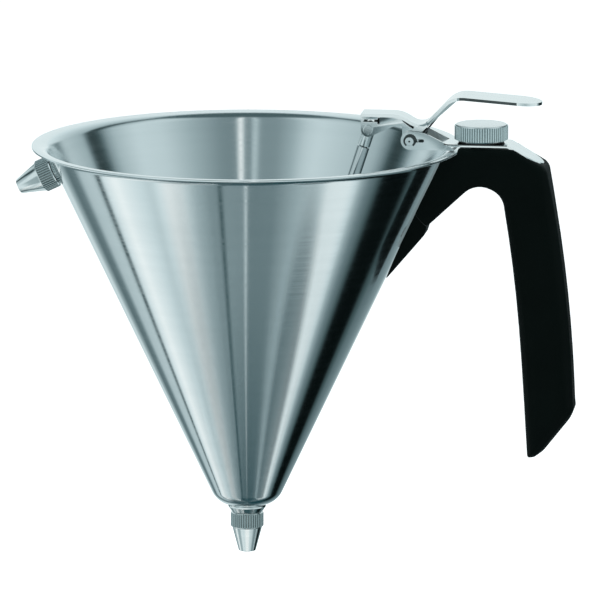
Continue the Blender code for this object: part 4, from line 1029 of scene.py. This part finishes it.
CARDS_ABOVE = [
    (-180, 0.84), (-150, 0.78), (-134, 0.72), (-126, 0.62), (-121, 0.4), (-114, 0.1),
    (-108, 0.12), (-103, 0.42), (-95, 0.62), (-75, 0.68), (-51, 0.76), (-42, 0.71), (-33, 0.58),
    (-22, 0.47), (-9, 0.46), (-7, 0.7), (-4.4, 0.7), (-3, 0.43), (2.4, 0.43), (3.2, 1.0),
    (6.2, 1.0), (7.2, 0.42), (20, 0.46), (38, 0.59), (60, 0.73), (78, 0.76), (95, 0.64),
    (101, 0.5), (107, 0.14), (114, 0.08), (119, 0.6), (168, 0.84),
]
CARD_COLOURS = [
    (0.0, (0.002, 0.004, 0.004)), (0.25, (0.058, 0.099, 0.105)), (0.4, (0.145, 0.21, 0.225)),
    (0.6, (0.36, 0.46, 0.48)), (0.8, (0.68, 0.8, 0.82)), (1.0, (1.1, 1.12, 1.1)),
]
LOW_CARDS = (-0.77, -0.7)
LEVEL_CARDS = (-0.29, -0.165)
UPPER_CARDS = (0.05, 0.2)
RIGHT_HALF = (0.75, 0.7501)
DARK_CEILING = (0.86, 0.94)
CEILING_TONE = 0.27

TURN_DEGREES = 360

world = bpy.data.worlds.new("studio")
bpy.context.scene.world = world
world.use_nodes = True
sky = world.node_tree
add, link = sky.nodes.new, sky.links.new


def ramp(stops, value):
    """A colour ramp whose stops are at azimuths in degrees, with plain tones."""
    node = add("ShaderNodeValToRGB")
    elements = node.color_ramp.elements
    while len(elements) < len(stops):
        elements.new(0.5)
    for element, (where, tone) in zip(elements, stops):
        element.position = where / TURN_DEGREES + 0.5
        element.color = (tone, tone, tone, 1)
    link(value, node.inputs[0])
    return node.outputs[0]


def mixed(share, first, second):
    """The first colour where the share is 0, and the second where it is 1."""
    node = add("ShaderNodeMix")
    node.data_type = "RGBA"
    link(share, node.inputs[0])
    link(first, node.inputs[6])
    link(second, node.inputs[7])
    return node.outputs[2]


def stepped(value, low, high):
    """A share that runs from 0 at the low value to 1 at the high one."""
    node = add("ShaderNodeMapRange")
    node.interpolation_type = "SMOOTHSTEP"
    node.inputs["From Min"].default_value = low
    node.inputs["From Max"].default_value = high
    link(value, node.inputs["Value"])
    return node.outputs[0]


look = add("ShaderNodeVectorRotate")
look.rotation_type = "Z_AXIS"
look.inputs["Angle"].default_value = -CAMERA_AZIMUTH
link(add("ShaderNodeTexCoord").outputs["Generated"], look.inputs["Vector"])
parts = add("ShaderNodeSeparateXYZ")
link(look.outputs[0], parts.inputs[0])
back = add("ShaderNodeMath")
back.operation = "MULTIPLY"
back.inputs[1].default_value = -1
link(parts.outputs["Y"], back.inputs[0])
azimuth = add("ShaderNodeMath")
azimuth.operation = "ARCTAN2"
link(parts.outputs["X"], azimuth.inputs[0])
link(back.outputs[0], azimuth.inputs[1])
share = add("ShaderNodeMapRange")
share.inputs["From Min"].default_value = -math.pi
share.inputs["From Max"].default_value = math.pi
link(azimuth.outputs[0], share.inputs["Value"])
position = share.outputs[0]
right_side = stepped(position, *RIGHT_HALF)
height = parts.outputs["Z"]
low = mixed(stepped(height, *LOW_CARDS), ramp(CARDS_BELOW, position), ramp(CARDS_LOW, position))
low = mixed(right_side, low, ramp(CARDS_BELOW_RIGHT, position))
tone = mixed(stepped(height, *LEVEL_CARDS), low, ramp(CARDS_LEVEL, position))
tone = mixed(stepped(height, *UPPER_CARDS), tone, ramp(CARDS_ABOVE, position))
ceiling = add("ShaderNodeRGB").outputs[0]
ceiling.default_value = (CEILING_TONE, CEILING_TONE, CEILING_TONE, 1)
tone = mixed(stepped(height, *DARK_CEILING), tone, ceiling)
cards = add("ShaderNodeValToRGB")
while len(cards.color_ramp.elements) < len(CARD_COLOURS):
    cards.color_ramp.elements.new(0.5)
for element, (where, colour) in zip(cards.color_ramp.elements, CARD_COLOURS):
    element.position = where
    element.color = (*colour, 1)
link(tone, cards.inputs[0])
white = add("ShaderNodeRGB").outputs[0]
white.default_value = (1, 1, 1, 1)
rays = add("ShaderNodeLightPath")
backdrop = mixed(rays.outputs["Is Camera Ray"], cards.outputs[0], white)
link(backdrop, sky.nodes["Background"].inputs["Color"])

# The table is a white sheet well below the funnel. The steel mirrors the cards and not the table,
# which lets their light through and can't be seen from underneath.

TABLE_DROP = 0.5
TABLE_SIZE = 60.0
TABLE_FILL = 0.75


def level_sheet(name, half, height, finish):
    """A level square of the studio."""
    mesh = bpy.data.meshes.new(name)
    corners = [(-half, -half, height), (half, -half, height), (half, half, height), (-half, half, height)]
    mesh.from_pydata(corners, [], [(0, 1, 2, 3)])
    mesh.materials.append(finish)
    sheet = bpy.data.objects.new(name, mesh)
    bpy.context.scene.collection.objects.link(sheet)
    return sheet


TABLE_WHITE = plain_material("table_white", (0.8, 0.8, 0.8), rough=1, shine=0)
table = TABLE_WHITE.node_tree
paper = table.nodes["Principled BSDF"]
paper.inputs["Emission Color"].default_value = (1, 1, 1, 1)
seen = table.nodes.new("ShaderNodeLightPath")
fill = table.nodes.new("ShaderNodeMath")
fill.operation = "MULTIPLY"
fill.inputs[1].default_value = TABLE_FILL
table.links.new(seen.outputs["Is Camera Ray"], fill.inputs[0])
table.links.new(fill.outputs[0], paper.inputs["Emission Strength"])
under = table.nodes.new("ShaderNodeNewGeometry")
open_below = table.nodes.new("ShaderNodeMath")
open_below.operation = "SUBTRACT"
open_below.inputs[0].default_value = 1
table.links.new(under.outputs["Backfacing"], open_below.inputs[1])
table.links.new(open_below.outputs[0], paper.inputs["Alpha"])
tabletop = level_sheet("tabletop", TABLE_SIZE / 2, cad_box[0][2] - TABLE_DROP, TABLE_WHITE)
tabletop.visible_glossy = False
tabletop.visible_shadow = False

# Soft round mats under the table, and a black card behind the handle's side, darken the foot and
# the right of the cone. Nothing but the steel's reflections shows them.

MAT_DROP = 0.52
BACK_CARD_REACH = 0.4
BACK_CARD = [(124, -0.215), (133, -0.2), (139, -0.178), (140, 0.0), (124, 0.0)]


def around(azimuth, reach):
    """A level direction from the cone's axis, by its azimuth from the camera, at a reach."""
    angle = CAMERA_AZIMUTH + math.radians(azimuth - 90)
    return Vector((reach * math.cos(angle), reach * math.sin(angle), 0))


def only_mirrored(obj):
    """Hides a thing of the studio from all but reflections."""
    obj.visible_camera = False
    obj.visible_diffuse = False
    obj.visible_transmission = False
    obj.visible_shadow = False


def dark_mat(name, azimuth, reach, radius, core, darkness):
    """A round mat under the table, which fades out from its core to its radius."""
    finish = plain_material(name, (0.01, 0.05, 0.06), rough=1, shine=0)
    mat = finish.node_tree
    span = mat.nodes.new("ShaderNodeVectorMath")
    span.operation = "LENGTH"
    fade = mat.nodes.new("ShaderNodeMapRange")
    fade.interpolation_type = "SMOOTHSTEP"
    fade.inputs["From Min"].default_value = radius * core
    fade.inputs["From Max"].default_value = radius
    fade.inputs["To Min"].default_value = darkness
    fade.inputs["To Max"].default_value = 0
    mat.links.new(mat.nodes.new("ShaderNodeTexCoord").outputs["Object"], span.inputs[0])
    mat.links.new(span.outputs["Value"], fade.inputs["Value"])
    mat.links.new(fade.outputs[0], mat.nodes["Principled BSDF"].inputs["Alpha"])
    sheet = level_sheet(name, radius, 0, finish)
    sheet.location = around(azimuth, reach) + Vector((0, 0, cad_box[0][2] - MAT_DROP))
    only_mirrored(sheet)


dark_mat("middle_mat", azimuth=0, reach=0, radius=0.65, core=0.35, darkness=0.5)
dark_mat("under_mat", azimuth=0, reach=0, radius=0.42, core=0.5, darkness=0.85)
dark_mat("right_mat", azimuth=60, reach=0.4, radius=0.15, core=0.5, darkness=0.72)
dark_mat("left_mat", azimuth=-58, reach=0.4, radius=0.2, core=0.1, darkness=0.4)

corners = []
for azimuth, height in BACK_CARD:
    corners.append(around(azimuth, BACK_CARD_REACH) + Vector((0, 0, height)))
card_mesh = bpy.data.meshes.new("back_card")
card_mesh.from_pydata(corners, [], [range(len(corners))])
card_mesh.materials.append(plain_material("card_black", (0.004, 0.006, 0.006), rough=1, shine=0))
back_card = bpy.data.objects.new("back_card", card_mesh)
bpy.context.scene.collection.objects.link(back_card)
only_mirrored(back_card)

# One soft square lamp hangs overhead. It adds plain light to the handle and the washers, and the
# steel doesn't mirror it.

LAMP_SIZE = 2.5
LAMP_HEIGHT = 2.2
LAMP_POWER = 60.0

lamp = bpy.data.objects.new("soft_lamp", bpy.data.lights.new("soft_lamp", "AREA"))
bpy.context.scene.collection.objects.link(lamp)
lamp.data.shape = "SQUARE"
lamp.data.size = LAMP_SIZE
lamp.data.energy = LAMP_POWER
lamp.location = (0, 0, LAMP_HEIGHT)
lamp.visible_glossy = False

bpy.context.scene.view_settings.view_transform = "Standard"
